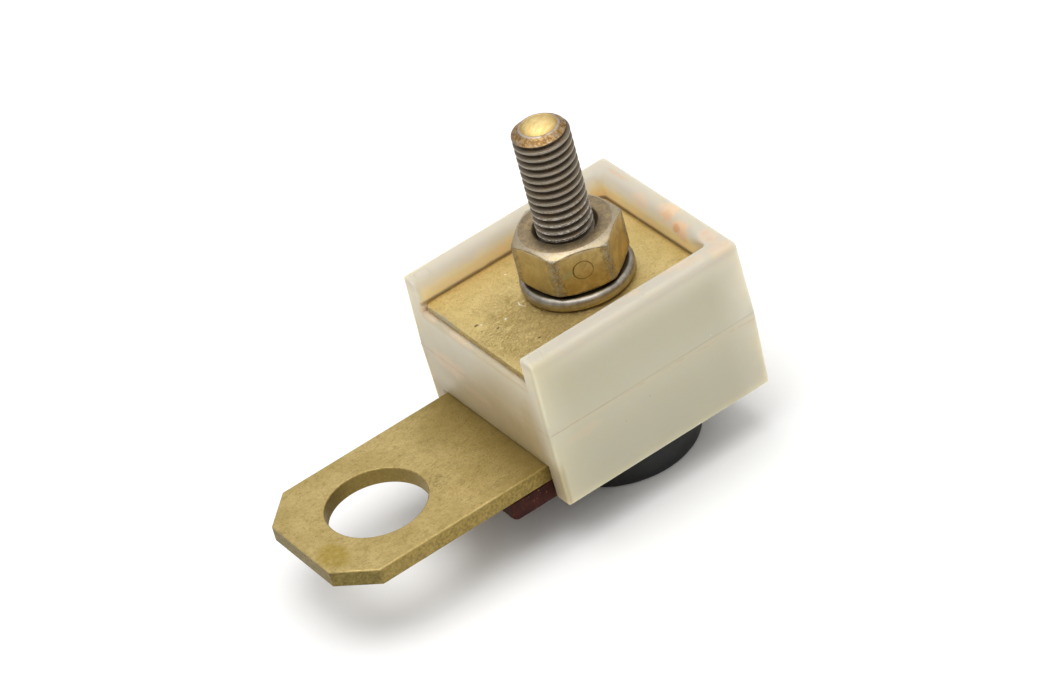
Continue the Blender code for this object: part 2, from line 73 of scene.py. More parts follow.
# Moulded block.
PARTING = 24.4 * MM  # height of the plane between the mouldings
WALL = 4.0 * MM
DRAFT = math.radians(1.0)
OUTER_CORNER = 0.6 * MM
FRONT_CORNER = 0.45 * MM
RIM_EDGE = 0.5 * MM
NEAR_RIM_EDGE = 1.2 * MM
INNER_RIM_EDGE = 2.7 * MM
RIM_EASE = 7.0 * MM  # over which the rim's inner edge grows rounder, away from the near wall
RIM_CUTS = 28  # steps of that growth along the back wall
NEAR_INNER_RIM_EDGE = 0.45 * MM
LEDGE_EDGE = 0.6 * MM
FAR_END_EDGE = 0.9 * MM
SEAM_EDGE = 0.05 * MM
FLOOR_EDGE = 0.3 * MM
SEAM_GAP = 0.004 * MM  # between the two mouldings
FLOOR_THICKNESS = 3.0 * MM
BOSS_WALL = 2.6 * MM
WAY_CLEARANCE = 0.3 * MM
CUT_PAST = 2.0 * MM  # how far a cutting tool reaches beyond what it cuts
PIN_MARK_RADIUS = 1.35 * MM
PIN_MARK_DEPTH = 0.12  # mm
EDGE_NEAR = 0.3 * MM  # how near an edge lies to a plane that it belongs to
PIN_SHANK_SHARE = 0.625  # of a sense pin's collar
OUTLET_INSET = 0.9 * MM  # from the grommet's flange to the hole in the wall
OUTLET_LENGTH = 8.0 * MM

# Plates.
PLATE_EDGE = 0.28 * MM
PLATE_FIT = 0.24 * MM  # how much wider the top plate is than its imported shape, so that it fills its pocket
BAR_EDGE = 0.22 * MM
FIBRE_EDGE = 0.45 * MM
PLATE_CORNER = 1.0 * MM
BAR_CHAMFER = 6.2 * MM
POST_HOLE_X = -47.3 * MM
POST_HOLE_RADIUS = 8.9 * MM

# M10 thread, nut and washer.
PITCH = 1.5 * MM
MAJOR = 4.95 * MM
MINOR = 4.08 * MM
THREAD_FOOT = 33.2 * MM
THREAD_ROWS = 18  # rows of the mesh in one turn
RUNOUT_SLOPE = 0.6
CREST_LIP = 0.09  # of the pitch, from the crest's middle to each rolled lip
CREST_GROOVE = 0.045 * MM
FLANK_TOP = 0.12
FLANK_FOOT = 0.40
ROOT_DEPTH = 0.03 * MM  # of the rounding at the foot of the flanks
STUD_ROUNDING = 0.03 * MM  # where the thread meets the stud's chamfer
STUD_CHAMFER = 1.1 * MM
STUD_END_RADIUS = 3.45 * MM
STUD_RIM_WIDTH = 0.27 * MM
DOME_GROOVE = 0.10 * MM
DOME_HEIGHT = 0.72 * MM
ACROSS_FLATS = 17.0 * MM
CHAMFER_CIRCLE = 8.02 * MM
CHAMFER_SLOPE = math.tan(math.radians(30.0))
NUT_TURN = math.radians(10.0)
NUT_BORE = 5.03 * MM
NUT_SINK = 5.75 * MM
NUT_SINK_DEPTH = 0.65 * MM
NUT_ROUNDING = 0.035 * MM  # where the flats meet the chamfers
NUT_CHAMFER_HEIGHT = 1.2 * MM
HEX_ROUNDING = 0.07 * MM
DIMPLE_RADIUS = 1.72 * MM
DIMPLE_GROOVE = 0.16 * MM
DIMPLE_DEPTH = 0.22 * MM
DIMPLE_RISE = 0.3 * MM  # above the middle of the flat
DIMPLE_FLATS = (-110.0, 10.0, 130.0)  # degrees round the nut, every other flat
WASHER_BORE = 5.25 * MM
WASHER_EDGE = 0.95 * MM
WASHER_LIP = 0.15 * MM  # chamfer of the washer's bore
CAP_EDGE = 0.9 * MM
CAP_LIP = 0.3 * MM
GROMMET_BORE = 1.5 * MM
GROMMET_MOUTH = 0.2 * MM  # rounding of the bore's ends
GROMMET_LIP = 1.0 * MM
GROMMET_NECK = 1.25 * MM  # from the flange's edge in to the neck
ACROSS_ONLY = (1.0, 1.0, 1e6)  # a reach that leaves height out of a distance


# ---------------------------------------------------------------- meshes

def smoothstep(value):
    value = min(max(value, 0.0), 1.0)
    return value * value * (3.0 - 2.0 * value)


def soft_min(values, softness):
    """The least of some lengths, rounded where two of them cross."""
    least = min(values)
    return least - softness * math.log(sum(math.exp((least - value) / softness) for value in values))


def add_object(name, data):
    made = bpy.data.objects.new(name, data)
    bpy.context.scene.collection.objects.link(made)
    return made


def mesh_object(name, shape):
    """Makes an object of a bmesh, which it frees."""
    mesh = bpy.data.meshes.new(name)
    bmesh.ops.recalc_face_normals(shape, faces=shape.faces)
    shape.to_mesh(mesh)
    shape.free()
    return add_object(name, mesh)


def evaluated_mesh(source):
    """A mesh of the object as its modifiers leave it."""
    bpy.context.view_layer.update()
    graph = bpy.context.evaluated_depsgraph_get()
    return bpy.data.meshes.new_from_object(source.evaluated_get(graph))


def apply_modifiers(piece):
    mesh = evaluated_mesh(piece)
    piece.modifiers.clear()
    piece.data = mesh
    return piece


def shade(piece, sharp=32.0):
    """Smooth shading up to a sharp angle."""
    piece.data.shade_smooth()
    piece.data.set_sharp_from_angle(angle=math.radians(sharp))
    return piece


def shade_rounded(piece):
    """Smooth shading in which the large faces stay flat, so that a rounded edge ends cleanly."""
    shade(piece)
    weighted = piece.modifiers.new("flat_faces", "WEIGHTED_NORMAL")
    weighted.keep_sharp = True
    return apply_modifiers(piece)


def finish_piece(piece, body, node, material):
    """Gives a piece its material, and says which body it rides on and which CAD node it replaces."""
    piece.data.materials.clear()
    piece.data.materials.append(material)
    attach(piece, body)
    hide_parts(node)


def grid_surface(rows, closed_rows=False, joins=None):
    """A bmesh through rows of points that each run once round the axis.

    A row's last point is joined to the first point of the row that joins gives, or of its own row.
    """
    shape = bmesh.new()
    rings = [[shape.verts.new(point) for point in row] for row in rows]
    rings = [ring + [rings[joins[i] if joins else i][0]] for i, ring in enumerate(rings)]
    pairs = list(zip(rings, rings[1:]))
    if closed_rows:
        pairs.append((rings[-1], rings[0]))
    for here, above in pairs:
        for i in range(len(here) - 1):
            corners = (here[i], here[i + 1], above[i + 1], above[i])
            if len(set(corners)) == 4:
                shape.faces.new(corners)
    return shape


def turns(steps):
    """The angles of some equal steps round a circle."""
    return [2 * math.pi * i / steps for i in range(steps)]


def polar(radius, turn, x=0.0, y=0.0):
    return x + radius * math.cos(turn), y + radius * math.sin(turn)


def ring_points(radius, z, steps):
    return [(*polar(radius, turn), z) for turn in turns(steps)]


def turned(name, profile, steps=144, closed=False):
    """A solid of revolution about Z through (radius, z) points. A point on the axis closes an end."""
    shape = grid_surface([ring_points(radius, z, steps) for radius, z in profile], closed)
    bmesh.ops.remove_doubles(shape, verts=shape.verts, dist=0.0005 * MM)
    return mesh_object(name, shape)


def arc(centre, radius, start, end, steps=8):
    """(radius, z) points of an arc between two angles in degrees."""
    angles = (start + (end - start) * i / steps for i in range(steps + 1))
    return [polar(radius, math.radians(angle), *centre) for angle in angles]


def circle(centre_x, radius, steps=96):
    return [polar(radius, turn, centre_x) for turn in turns(steps)]


def rounded_rectangle(low, high, radius):
    centres = (
        (low[0] + radius, low[1] + radius),
        (high[0] - radius, low[1] + radius),
        (high[0] - radius, high[1] - radius),
        (low[0] + radius, high[1] - radius),
    )
    points = []
    for index, centre in enumerate(centres):
        start = 180.0 + 90.0 * index
        points += arc(centre, radius, start, start + 90.0, 6)
    return points


def plate(name, outlines, low, high, edge):
    """A plate whose first outline is its edge and the others its holes, with rounded arrises."""
    curve = bpy.data.curves.new(name, "CURVE")
    curve.dimensions = "2D"
    curve.fill_mode = "BOTH"
    curve.extrude = (high - low) / 2 - edge
    curve.bevel_depth = edge
    curve.bevel_resolution = 3
    curve.offset = -edge
    for outline in outlines:
        spline = curve.splines.new("POLY")
        spline.points.add(len(outline) - 1)
        for point, (x, y) in zip(spline.points, outline):
            point.co = (x, y, 0.0, 1.0)
        spline.use_cyclic_u = True
    guide = add_object(name + "_outline", curve)
    mesh = evaluated_mesh(guide)
    bpy.data.objects.remove(guide, do_unlink=True)
    shape = bmesh.new()
    shape.from_mesh(mesh)
    bpy.data.meshes.remove(mesh)
    bmesh.ops.remove_doubles(shape, verts=shape.verts, dist=0.001 * MM)
    bmesh.ops.translate(shape, vec=(0, 0, (low + high) / 2), verts=shape.verts)
    return shade_rounded(mesh_object(name, shape))


def block(name, low, high):
    shape = bmesh.new()
    bmesh.ops.create_cube(shape, size=1.0)
    bmesh.ops.scale(shape, vec=Vector(high) - Vector(low), verts=shape.verts)
    bmesh.ops.translate(shape, vec=(Vector(high) + Vector(low)) / 2, verts=shape.verts)
    return mesh_object(name, shape)


def rounded_block(name, low, high, radius):
    """A box with its four upright edges rounded."""
    outline = rounded_rectangle(low, high, radius)
    shape = bmesh.new()
    rings = [[shape.verts.new((x, y, z)) for x, y in outline] for z in (low[2], high[2])]
    for ring in rings:
        shape.faces.new(ring)
    for i in range(len(outline)):
        shape.faces.new((rings[0][i - 1], rings[0][i], rings[1][i], rings[1][i - 1]))
    return mesh_object(name, shape)


def post(name, radius, low, high, place):
    """An upright cylinder."""
    shape = bmesh.new()
    middle = Matrix.Translation((place[0], place[1], (low + high) / 2))
    bmesh.ops.create_cone(
        shape, cap_ends=True, segments=40, radius1=radius, radius2=radius, depth=high - low, matrix=middle
    )
    return mesh_object(name, shape)


def carve(piece, tools):
    """Applies (tool, operation) Booleans to the piece in order and removes the tools."""
    for tool, operation in tools:
        step = piece.modifiers.new(tool.name, "BOOLEAN")
        step.operation = operation
        step.solver = "EXACT"
        step.object = tool
    apply_modifiers(piece)
    for tool, _ in tools:
        bpy.data.objects.remove(tool, do_unlink=True)
    return piece


# ---------------------------------------------------------------- the moulded block

def drafted_block(name, low, high, at_parting, at_rim):
    """A box that narrows from the parting plane to its rim."""
    made = block(name, low, high)
    inset = abs(at_rim - at_parting) * math.tan(DRAFT)
    middle = (Vector(low) + Vector(high)) / 2
    for vertex in made.data.vertices:
        if abs(vertex.co.z - at_rim) < abs(vertex.co.z - at_parting):
            vertex.co.x -= math.copysign(inset, vertex.co.x - middle.x)
            vertex.co.y -= math.copysign(inset, vertex.co.y - middle.y)
    return made


def edge_radius(edge, at_parting, at_rim, floor, outline):
    """How far to round one edge of a half shell, from where it lies."""
    first, second = (vertex.co for vertex in edge.verts)
    middle = (first + second) / 2
    near = EDGE_NEAR
    if len(edge.link_faces) != 2 or edge.calc_face_angle(0.0) < math.radians(25.0):
        return 0.0
    inside = outline[0] + near < middle.x < outline[1] - near and abs(middle.y) < outline[2] - near * 4
    upper = at_rim > at_parting
    if abs(first.z - second.z) < near:
        if abs(middle.z - at_parting) < near:
            return SEAM_EDGE if not inside else 0.0
        if abs(middle.z - at_rim) < near:
            if inside and upper:
                off_near = smoothstep((middle.y + outline[2] - WALL - PLATE_CORNER) / RIM_EASE)
                return NEAR_INNER_RIM_EDGE + off_near * (INNER_RIM_EDGE - NEAR_INNER_RIM_EDGE)
            return NEAR_RIM_EDGE if upper and middle.y < 3 * near - outline[2] else RIM_EDGE
        if abs(middle.z - floor) < near and middle.x < outline[0] + near:
            return LEDGE_EDGE if upper else FLOOR_EDGE
        return 0.0
    if inside:
        return 0.0
    if abs(abs(middle.y) - (outline[2] - WALL)) < near * 2:
        return FLOOR_EDGE if middle.y < 0 else FAR_END_EDGE
    return FRONT_CORNER if middle.x < 0 else OUTER_CORNER


def half_shell(name, node, at_parting, at_rim, floor):
    """One moulding of the block, with its pocket, cavity, boss, ways and rounded edges."""
    low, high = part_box(node)
    side = math.copysign(1.0, at_rim - at_parting)
    side_wall = high.y - WALL
    back_wall = high.x - WALL
    bottom, top = sorted((at_parting, at_rim))
    shell = drafted_block(name, (low.x, low.y, bottom), (high.x, high.y, top), at_parting, at_rim)
    inside = floor - side * FLOOR_THICKNESS
    pocket_ends = sorted((floor, at_rim + side * CUT_PAST))
    cavity_ends = sorted((inside, at_parting - side * CUT_PAST))
    pocket = rounded_block(
        "pocket",
        (low.x - CUT_PAST, -side_wall, pocket_ends[0]),
        (back_wall, side_wall, pocket_ends[1]),
        PLATE_CORNER,
    )
    cavity = block(
        "cavity", (low.x + WALL, -side_wall, cavity_ends[0]), (back_wall, side_wall, cavity_ends[1])
    )
    sleeve_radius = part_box("bolt_sleeve")[1].x
    boss_ends = sorted((inside + side * MM, at_parting))
    way_ends = (bottom - CUT_PAST, top + CUT_PAST)
    tools = [
        (pocket, "DIFFERENCE"),
        (cavity, "DIFFERENCE"),
        (post("boss", sleeve_radius + BOSS_WALL, *boss_ends, (0, 0)), "UNION"),
        (post("bolt_way", sleeve_radius + WAY_CLEARANCE, *way_ends, (0, 0)), "DIFFERENCE"),
    ]
    floor_ends = sorted((floor + side * MM, inside - side * MM))
    for inner in ways_through(node):
        inner_low, inner_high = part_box(inner)
        centre = (inner_low + inner_high) / 2
        radius = rod_radius(inner) + WAY_CLEARANCE
        tools.append((post(inner + "_way", radius, *floor_ends, centre.xy), "DIFFERENCE"))
    tools.append((outlet_cutter(), "DIFFERENCE"))
    carve(shell, tools)
    round_edges(shell, at_parting, at_rim, floor, (low.x, high.x, high.y))
    return shell


def ways_through(node):
    """The inner pieces that pass through this half's floor."""
    pin = "sense_pin_upper" if node == "upper_housing" else "sense_pin_lower"
    return [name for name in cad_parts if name.startswith("resistor_rod")] + [pin]


def rod_radius(node):
    """The radius of a rod, or of the shank of a sense pin, whose collar is wider."""
    low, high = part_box(node)
    radius = (high.x - low.x) / 2
    return radius if node.startswith("resistor_rod") else radius * PIN_SHANK_SHARE


def outlet_cutter():
    """The hole for the sense lead, half in each moulding."""
    low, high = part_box("lead_grommet")
    radius = (high.z - low.z) / 2 - OUTLET_INSET
    tool = post("outlet", radius, -OUTLET_LENGTH / 2, OUTLET_LENGTH / 2, (0, 0))
    place = Matrix.Translation(((low.x + high.x) / 2, 0, PARTING))
    tool.data.transform(place @ Matrix.Rotation(math.pi / 2, 4, "Y"))
    return tool


def is_back_rim(edge, at_rim, outline):
    """Whether this is the straight inner rim edge along the back wall."""
    first, second = (vertex.co for vertex in edge.verts)
    level = max(abs(first.z - at_rim), abs(second.z - at_rim)) < EDGE_NEAR
    behind = min(first.x, second.x) > outline[1] - WALL - EDGE_NEAR
    inner = max(first.x, second.x) < outline[1] - EDGE_NEAR * 2
    return level and behind and inner and abs(first.y - second.y) > outline[2]


def round_edges(shell, at_parting, at_rim, floor, outline):
    """Rounds each edge of a half shell by its own radius, in one bevel."""
    shape = bmesh.new()
    shape.from_mesh(shell.data)
    bmesh.ops.remove_doubles(shape, verts=shape.verts, dist=0.002 * MM)
    bmesh.ops.dissolve_limit(shape, angle_limit=math.radians(1.0), verts=shape.verts, edges=shape.edges)
    back = [edge for edge in shape.edges if is_back_rim(edge, at_rim, outline)]
    bmesh.ops.subdivide_edges(shape, edges=back, cuts=RIM_CUTS)
    weight = shape.edges.layers.float.new("bevel_weight_edge")
    for edge in shape.edges:
        edge[weight] = edge_radius(edge, at_parting, at_rim, floor, outline) / INNER_RIM_EDGE
    shape.to_mesh(shell.data)
    shape.free()
    bevel = shell.modifiers.new("rounding", "BEVEL")
    bevel.limit_method = "WEIGHT"
    bevel.width = INNER_RIM_EDGE
    bevel.segments = 6
    bevel.use_clamp_overlap = False
    return apply_modifiers(shell)


def build_block():
    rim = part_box("upper_housing")[1].z
    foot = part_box("lower_housing")[0].z
    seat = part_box("top_terminal_plate")[0].z - TOUCH
    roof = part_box("terminal_bar")[1].z + TOUCH
    upper = half_shell("upper_block_shell", "upper_housing", PARTING + SEAM_GAP, rim, seat)
    lower = half_shell("lower_block_shell", "lower_housing", PARTING - SEAM_GAP, foot, roof)
    material = ivory_nylon()
    finish_piece(shade_rounded(upper), BLOCK_BODY, "upper_housing", material)
    finish_piece(shade_rounded(lower), BLOCK_BODY, "lower_housing", material)


# ---------------------------------------------------------------- plates

def build_plates():
    low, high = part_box("top_terminal_plate")
    outer = ((low.x, low.y - PLATE_FIT), (high.x + PLATE_FIT, high.y + PLATE_FIT))
    outlines = (rounded_rectangle(*outer, PLATE_CORNER), circle(0.0, WASHER_BORE))
    top = plate("top_plate_sheet", outlines, low.z, high.z, PLATE_EDGE)
    finish_piece(top, BLOCK_BODY, "top_terminal_plate", bright_brass())

    low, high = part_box("terminal_bar")
    edge = [
        (high.x, low.y),
        (high.x, high.y),
        (low.x + BAR_CHAMFER, high.y),
        (low.x, high.y - BAR_CHAMFER),
        (low.x, low.y + BAR_CHAMFER),
        (low.x + BAR_CHAMFER, low.y),
    ]
    sleeve_hole = circle(0.0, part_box("bolt_sleeve")[1].x + WAY_CLEARANCE)
    outlines = (edge, circle(POST_HOLE_X, POST_HOLE_RADIUS, 144), sleeve_hole)
    bar = plate("terminal_bar_sheet", outlines, low.z, high.z, BAR_EDGE)
    finish_piece(bar, BLOCK_BODY, "terminal_bar", tarnished_brass())

    low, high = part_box("base_insulator")
    outlines = (rounded_rectangle(low.xy, high.xy, PLATE_CORNER), sleeve_hole)
    top_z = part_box("terminal_bar")[0].z - TOUCH
    base = plate("fibre_sheet", outlines, low.z, top_z, FIBRE_EDGE)
    finish_piece(base, BLOCK_BODY, "base_insulator", red_fibre())


# ---------------------------------------------------------------- bolt, nut and washer

def thread_radius(phase):
    """A rolled thread: two lips with a shallow groove between them at phase 0, and a round root at 0.5."""
    across = min(phase % 1.0, 1.0 - phase % 1.0)
    lip = math.exp(-((across / (CREST_LIP * 0.8)) ** 2))
    crest = MAJOR - CREST_GROOVE * lip
    fall = smoothstep((across - CREST_LIP) / (FLANK_FOOT - CREST_LIP))
    straight = min(max((across - FLANK_TOP) / (FLANK_FOOT - FLANK_TOP), 0.0), 1.0)
    share = 0.3 * fall + 0.7 * straight
    root = smoothstep((across - FLANK_FOOT) / (0.5 - FLANK_FOOT))
    return crest - share * (MAJOR - MINOR - ROOT_DEPTH) - root * ROOT_DEPTH


def thread_rows(foot, head, steps, per_turn):
    """Rings that climb with the thread. Each point keeps its phase, so the crests stay crisp."""
    first = math.floor(foot / PITCH) - 1
    last = math.ceil(head / PITCH) + 1
    rows = []
    for index in range(first * per_turn, last * per_turn):
        row = []
        for column in range(steps):
            turn = column / steps
            z = min(max((index / per_turn + turn) * PITCH, foot), head)
            radius = thread_radius(z / PITCH - turn)
            runout = MAJOR - (z - foot) * RUNOUT_SLOPE
            chamfer = STUD_END_RADIUS + (head - z) * (MAJOR - STUD_END_RADIUS) / STUD_CHAMFER
            radius = soft_min((max(radius, runout), chamfer), STUD_ROUNDING)
            row.append((*polar(radius, 2 * math.pi * turn), z))
        rows.append(row)
    return rows


def build_bolt():
    """The whole bolt: its head under the cap, plain shank, rolled thread and domed end."""
    steps = 120
    low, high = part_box("terminal_bolt")
    washer_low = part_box("head_washer")[0]
    end = high.z - DOME_HEIGHT
    head_top = washer_low.z - TOUCH
    rows = [ring_points(0.0, low.z, steps)]
    for z, radius in ((low.z, 0.93), (low.z + 0.5 * MM, 1.0), (head_top, 1.0)):
        rows.append(hexagon_row(z, radius * ACROSS_FLATS / 2, steps))
    rows += [ring_points(MAJOR, head_top, steps), ring_points(MAJOR, THREAD_FOOT - MM, steps)]
    thread = thread_rows(THREAD_FOOT, end, steps, THREAD_ROWS)
    first, last = len(rows), len(rows) + len(thread) - 1
    rows += thread
    rim = STUD_END_RADIUS - STUD_RIM_WIDTH
    rows.append(ring_points(STUD_END_RADIUS - 0.08 * MM, end + 0.05 * MM, steps))
    rows.append(ring_points(rim, end + 0.04 * MM, steps))
    rows.append(ring_points(rim - 0.12 * MM, end - DOME_GROOVE, steps))
    for share in (0.9, 0.8, 0.66, 0.5, 0.34, 0.17, 0.0):
        height = DOME_HEIGHT * (1.0 - share ** 2.4)
        rows.append(ring_points(rim * share, end - DOME_GROOVE * share ** 6 + height * 0.92, steps))
    # Each turn of the thread ends one turn's rows higher than it began.
    joins = [min(i + THREAD_ROWS, last) if first <= i <= last else i for i in range(len(rows))]
    shape = grid_surface(rows, joins=joins)
    bmesh.ops.remove_doubles(shape, verts=shape.verts, dist=0.001 * MM)
    bolt = shade(mesh_object("stud_bolt", shape), sharp=50.0)
    finish_piece(bolt, BLOCK_BODY, "terminal_bolt", rolled_steel(end))


def hexagon_radius(turn, apothem):
    """Distance to a hexagon's side at an angle, with its corners eased."""
    cosines = (math.cos(turn - flat * math.pi / 3) for flat in range(6))
    return soft_min([apothem / cosine for cosine in cosines if cosine > 0.5], HEX_ROUNDING)


def hexagon_row(z, apothem, steps):
    return [(*polar(hexagon_radius(turn, apothem), turn), z) for turn in turns(steps)]


def nut_outside_row(z, low, high, steps):
    """One ring of the nut's outside, where the flats meet the chamfer cones at both ends."""
    chamfer = CHAMFER_CIRCLE + min(z - low, high - z) / CHAMFER_SLOPE
    row = []
    for turn in turns(steps):
        radius = soft_min((hexagon_radius(turn, ACROSS_FLATS / 2), chamfer), NUT_ROUNDING)
        row.append((*polar(radius, turn + NUT_TURN), z))
    return row


def build_nut():
    steps = 360
    low, high = (corner.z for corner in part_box("lock_nut"))
    fine = [NUT_CHAMFER_HEIGHT * (i / 16) ** 1.3 for i in range(17)]
    straight = high - low - 2 * NUT_CHAMFER_HEIGHT
    middle = [low + NUT_CHAMFER_HEIGHT + straight * i / 10 for i in range(1, 10)]
    heights = [low + z for z in fine] + middle + [high - z for z in reversed(fine)]
    rows = [
        ring_points(NUT_BORE, low + NUT_SINK_DEPTH, steps),
        ring_points(NUT_SINK, low, steps),
        *(nut_outside_row(z, low, high, steps) for z in heights),
        ring_points(NUT_SINK, high, steps),
        ring_points(NUT_SINK - 0.08 * MM, high - 0.06 * MM, steps),
        ring_points(NUT_BORE + 0.1 * MM, high - NUT_SINK_DEPTH, steps),
        ring_points(NUT_BORE, high - NUT_SINK_DEPTH - 0.2 * MM, steps),
    ]
    nut = mesh_object("hex_nut", grid_surface(rows, closed_rows=True))
    dimple_height = (low + high) / 2 + DIMPLE_RISE
    carve(nut, [(dimple_groove(degrees, dimple_height), "DIFFERENCE") for degrees in DIMPLE_FLATS])
    shade(nut, sharp=38.0)
    finish_piece(nut, NUT_BODY, "lock_nut", yellow_zinc(low, high))


def dimple_groove(degrees, z):
    """The ring that a staking punch leaves in a flat. It cuts deeper on one side."""
    section = ((-DIMPLE_GROOVE, -DIMPLE_DEPTH), (0.0, DIMPLE_DEPTH), (DIMPLE_GROOVE, -DIMPLE_DEPTH))
    profile = [(DIMPLE_RADIUS + across, along) for across, along in section]
    tool = turned(f"groove_{int(degrees)}", profile, 48, closed=True)
    lean = Matrix.Rotation(math.radians(-2.0), 4, "X") @ Matrix.Rotation(math.radians(-1.5), 4, "Y")
    out = Matrix.Rotation(math.radians(degrees), 4, "Z")
    facing = Matrix.Translation((ACROSS_FLATS / 2, 0, z)) @ Matrix.Rotation(-math.pi / 2, 4, "Y")
    tool.data.transform(out @ facing @ lean)
    return tool


def build_washers():
    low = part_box("top_terminal_plate")[1].z + TOUCH
    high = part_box("lock_nut")[0].z - TOUCH
    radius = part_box("stud_washer")[1].x
    edge = WASHER_EDGE
    profile = [
        (WASHER_BORE, low + WASHER_LIP),
        (WASHER_BORE + WASHER_LIP, low),
        *arc((radius - edge, low + edge), edge, -90.0, 0.0, 12),
        *arc((radius - edge, high - edge), edge, 0.0, 90.0, 12),
        (WASHER_BORE + WASHER_LIP, high),
        (WASHER_BORE, high - WASHER_LIP),
    ]
    washer = shade(turned("round_washer", profile, 192, closed=True))
    finish_piece(washer, WASHER_BODY, "stud_washer", washer_steel())


# ---------------------------------------------------------------- cap and grommet

def build_cap():
    low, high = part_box("bolt_cap")
    radius = high.y
    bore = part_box("head_washer")[1].y + WAY_CLEARANCE
    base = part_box("terminal_bolt")[0].z - WAY_CLEARANCE
    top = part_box("base_insulator")[0].z - TOUCH
    profile = [
        (0.0, base),
        (bore, base),
        (bore, top),
        *arc((radius - CAP_LIP, top - CAP_LIP), CAP_LIP, 90.0, 0.0, 4),
        *arc((radius - CAP_EDGE, low.z + CAP_EDGE), CAP_EDGE, 0.0, -90.0, 8),
        (0.0, low.z),
    ]
    cap = shade(turned("cup_cap", profile, 192))
    finish_piece(cap, BLOCK_BODY, "bolt_cap", black_rubber())


def build_grommet():
    low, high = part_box("lead_grommet")
    flange = (high.z - low.z) / 2
    neck = flange - GROMMET_NECK
    mouth = GROMMET_MOUTH
    edge = GROMMET_LIP * 0.45
    profile = [
        *arc((GROMMET_BORE + mouth, low.x + mouth), mouth, 180.0, 270.0, 4),
        *arc((flange - edge, low.x + edge), edge, -90.0, 90.0, 10),
        (neck, low.x + GROMMET_LIP),
        (neck, high.x - GROMMET_LIP),
        *arc((flange - edge, high.x - edge), edge, -90.0, 90.0, 10),
        *arc((GROMMET_BORE + mouth, high.x - mouth), mouth, 90.0, 180.0, 4),
    ]
    grommet = turned("outlet_grommet", profile, 72, closed=True)
    grommet.data.transform(Matrix.Translation((0, 0, PARTING)) @ Matrix.Rotation(math.pi / 2, 4, "Y"))
    shade(grommet)
    finish_piece(grommet, BLOCK_BODY, "lead_grommet", black_rubber())


# ---------------------------------------------------------------- materials

class Field:
    """A number or a colour that varies over a surface. Arithmetic on it adds nodes."""

    def __init__(self, tree, socket):
        self.tree = tree
        self.socket = socket

    def maths(self, operation, first, second=0.0):
        return add_node(self.tree, "Math", {0: first, 1: second}, operation=operation)

    def __add__(self, other):
        return self.maths("ADD", self, other)

    def __sub__(self, other):
        return self.maths("SUBTRACT", self, other)

    def __rsub__(self, other):
        return self.maths("SUBTRACT", other, self)

    def __mul__(self, other):
        return self.maths("MULTIPLY", self, other)

    def __truediv__(self, other):
        return self.maths("DIVIDE", self, other)

    def __abs__(self):
        return self.maths("ABSOLUTE", self)

    __radd__ = __add__
    __rmul__ = __mul__

    def least(self, other):
        return self.maths("MINIMUM", self, other)

    def most(self, other):
        return self.maths("MAXIMUM", self, other)

    def rise(self, low, high):
        """0 below low, 1 above high, smooth between. It falls instead where low is the larger."""
        links = {"Value": self, "From Min": min(low, high), "From Max": max(low, high)}
        links["To Min"], links["To Max"] = (0.0, 1.0) if low < high else (1.0, 0.0)
        return add_node(self.tree, "MapRange", links, interpolation_type="SMOOTHSTEP")


def add_node(tree, kind, links, output=0, **settings):
    """Adds a shader node, sets or links its inputs, and gives one of its outputs."""
    made = tree.nodes.new("ShaderNode" + kind)
    for key, value in settings.items():
        setattr(made, key, value)
    for key, value in links.items():
        if isinstance(value, Field):
            tree.links.new(value.socket, made.inputs[key])
        else:
            made.inputs[key].default_value = value
    return Field(tree, made.outputs[output])


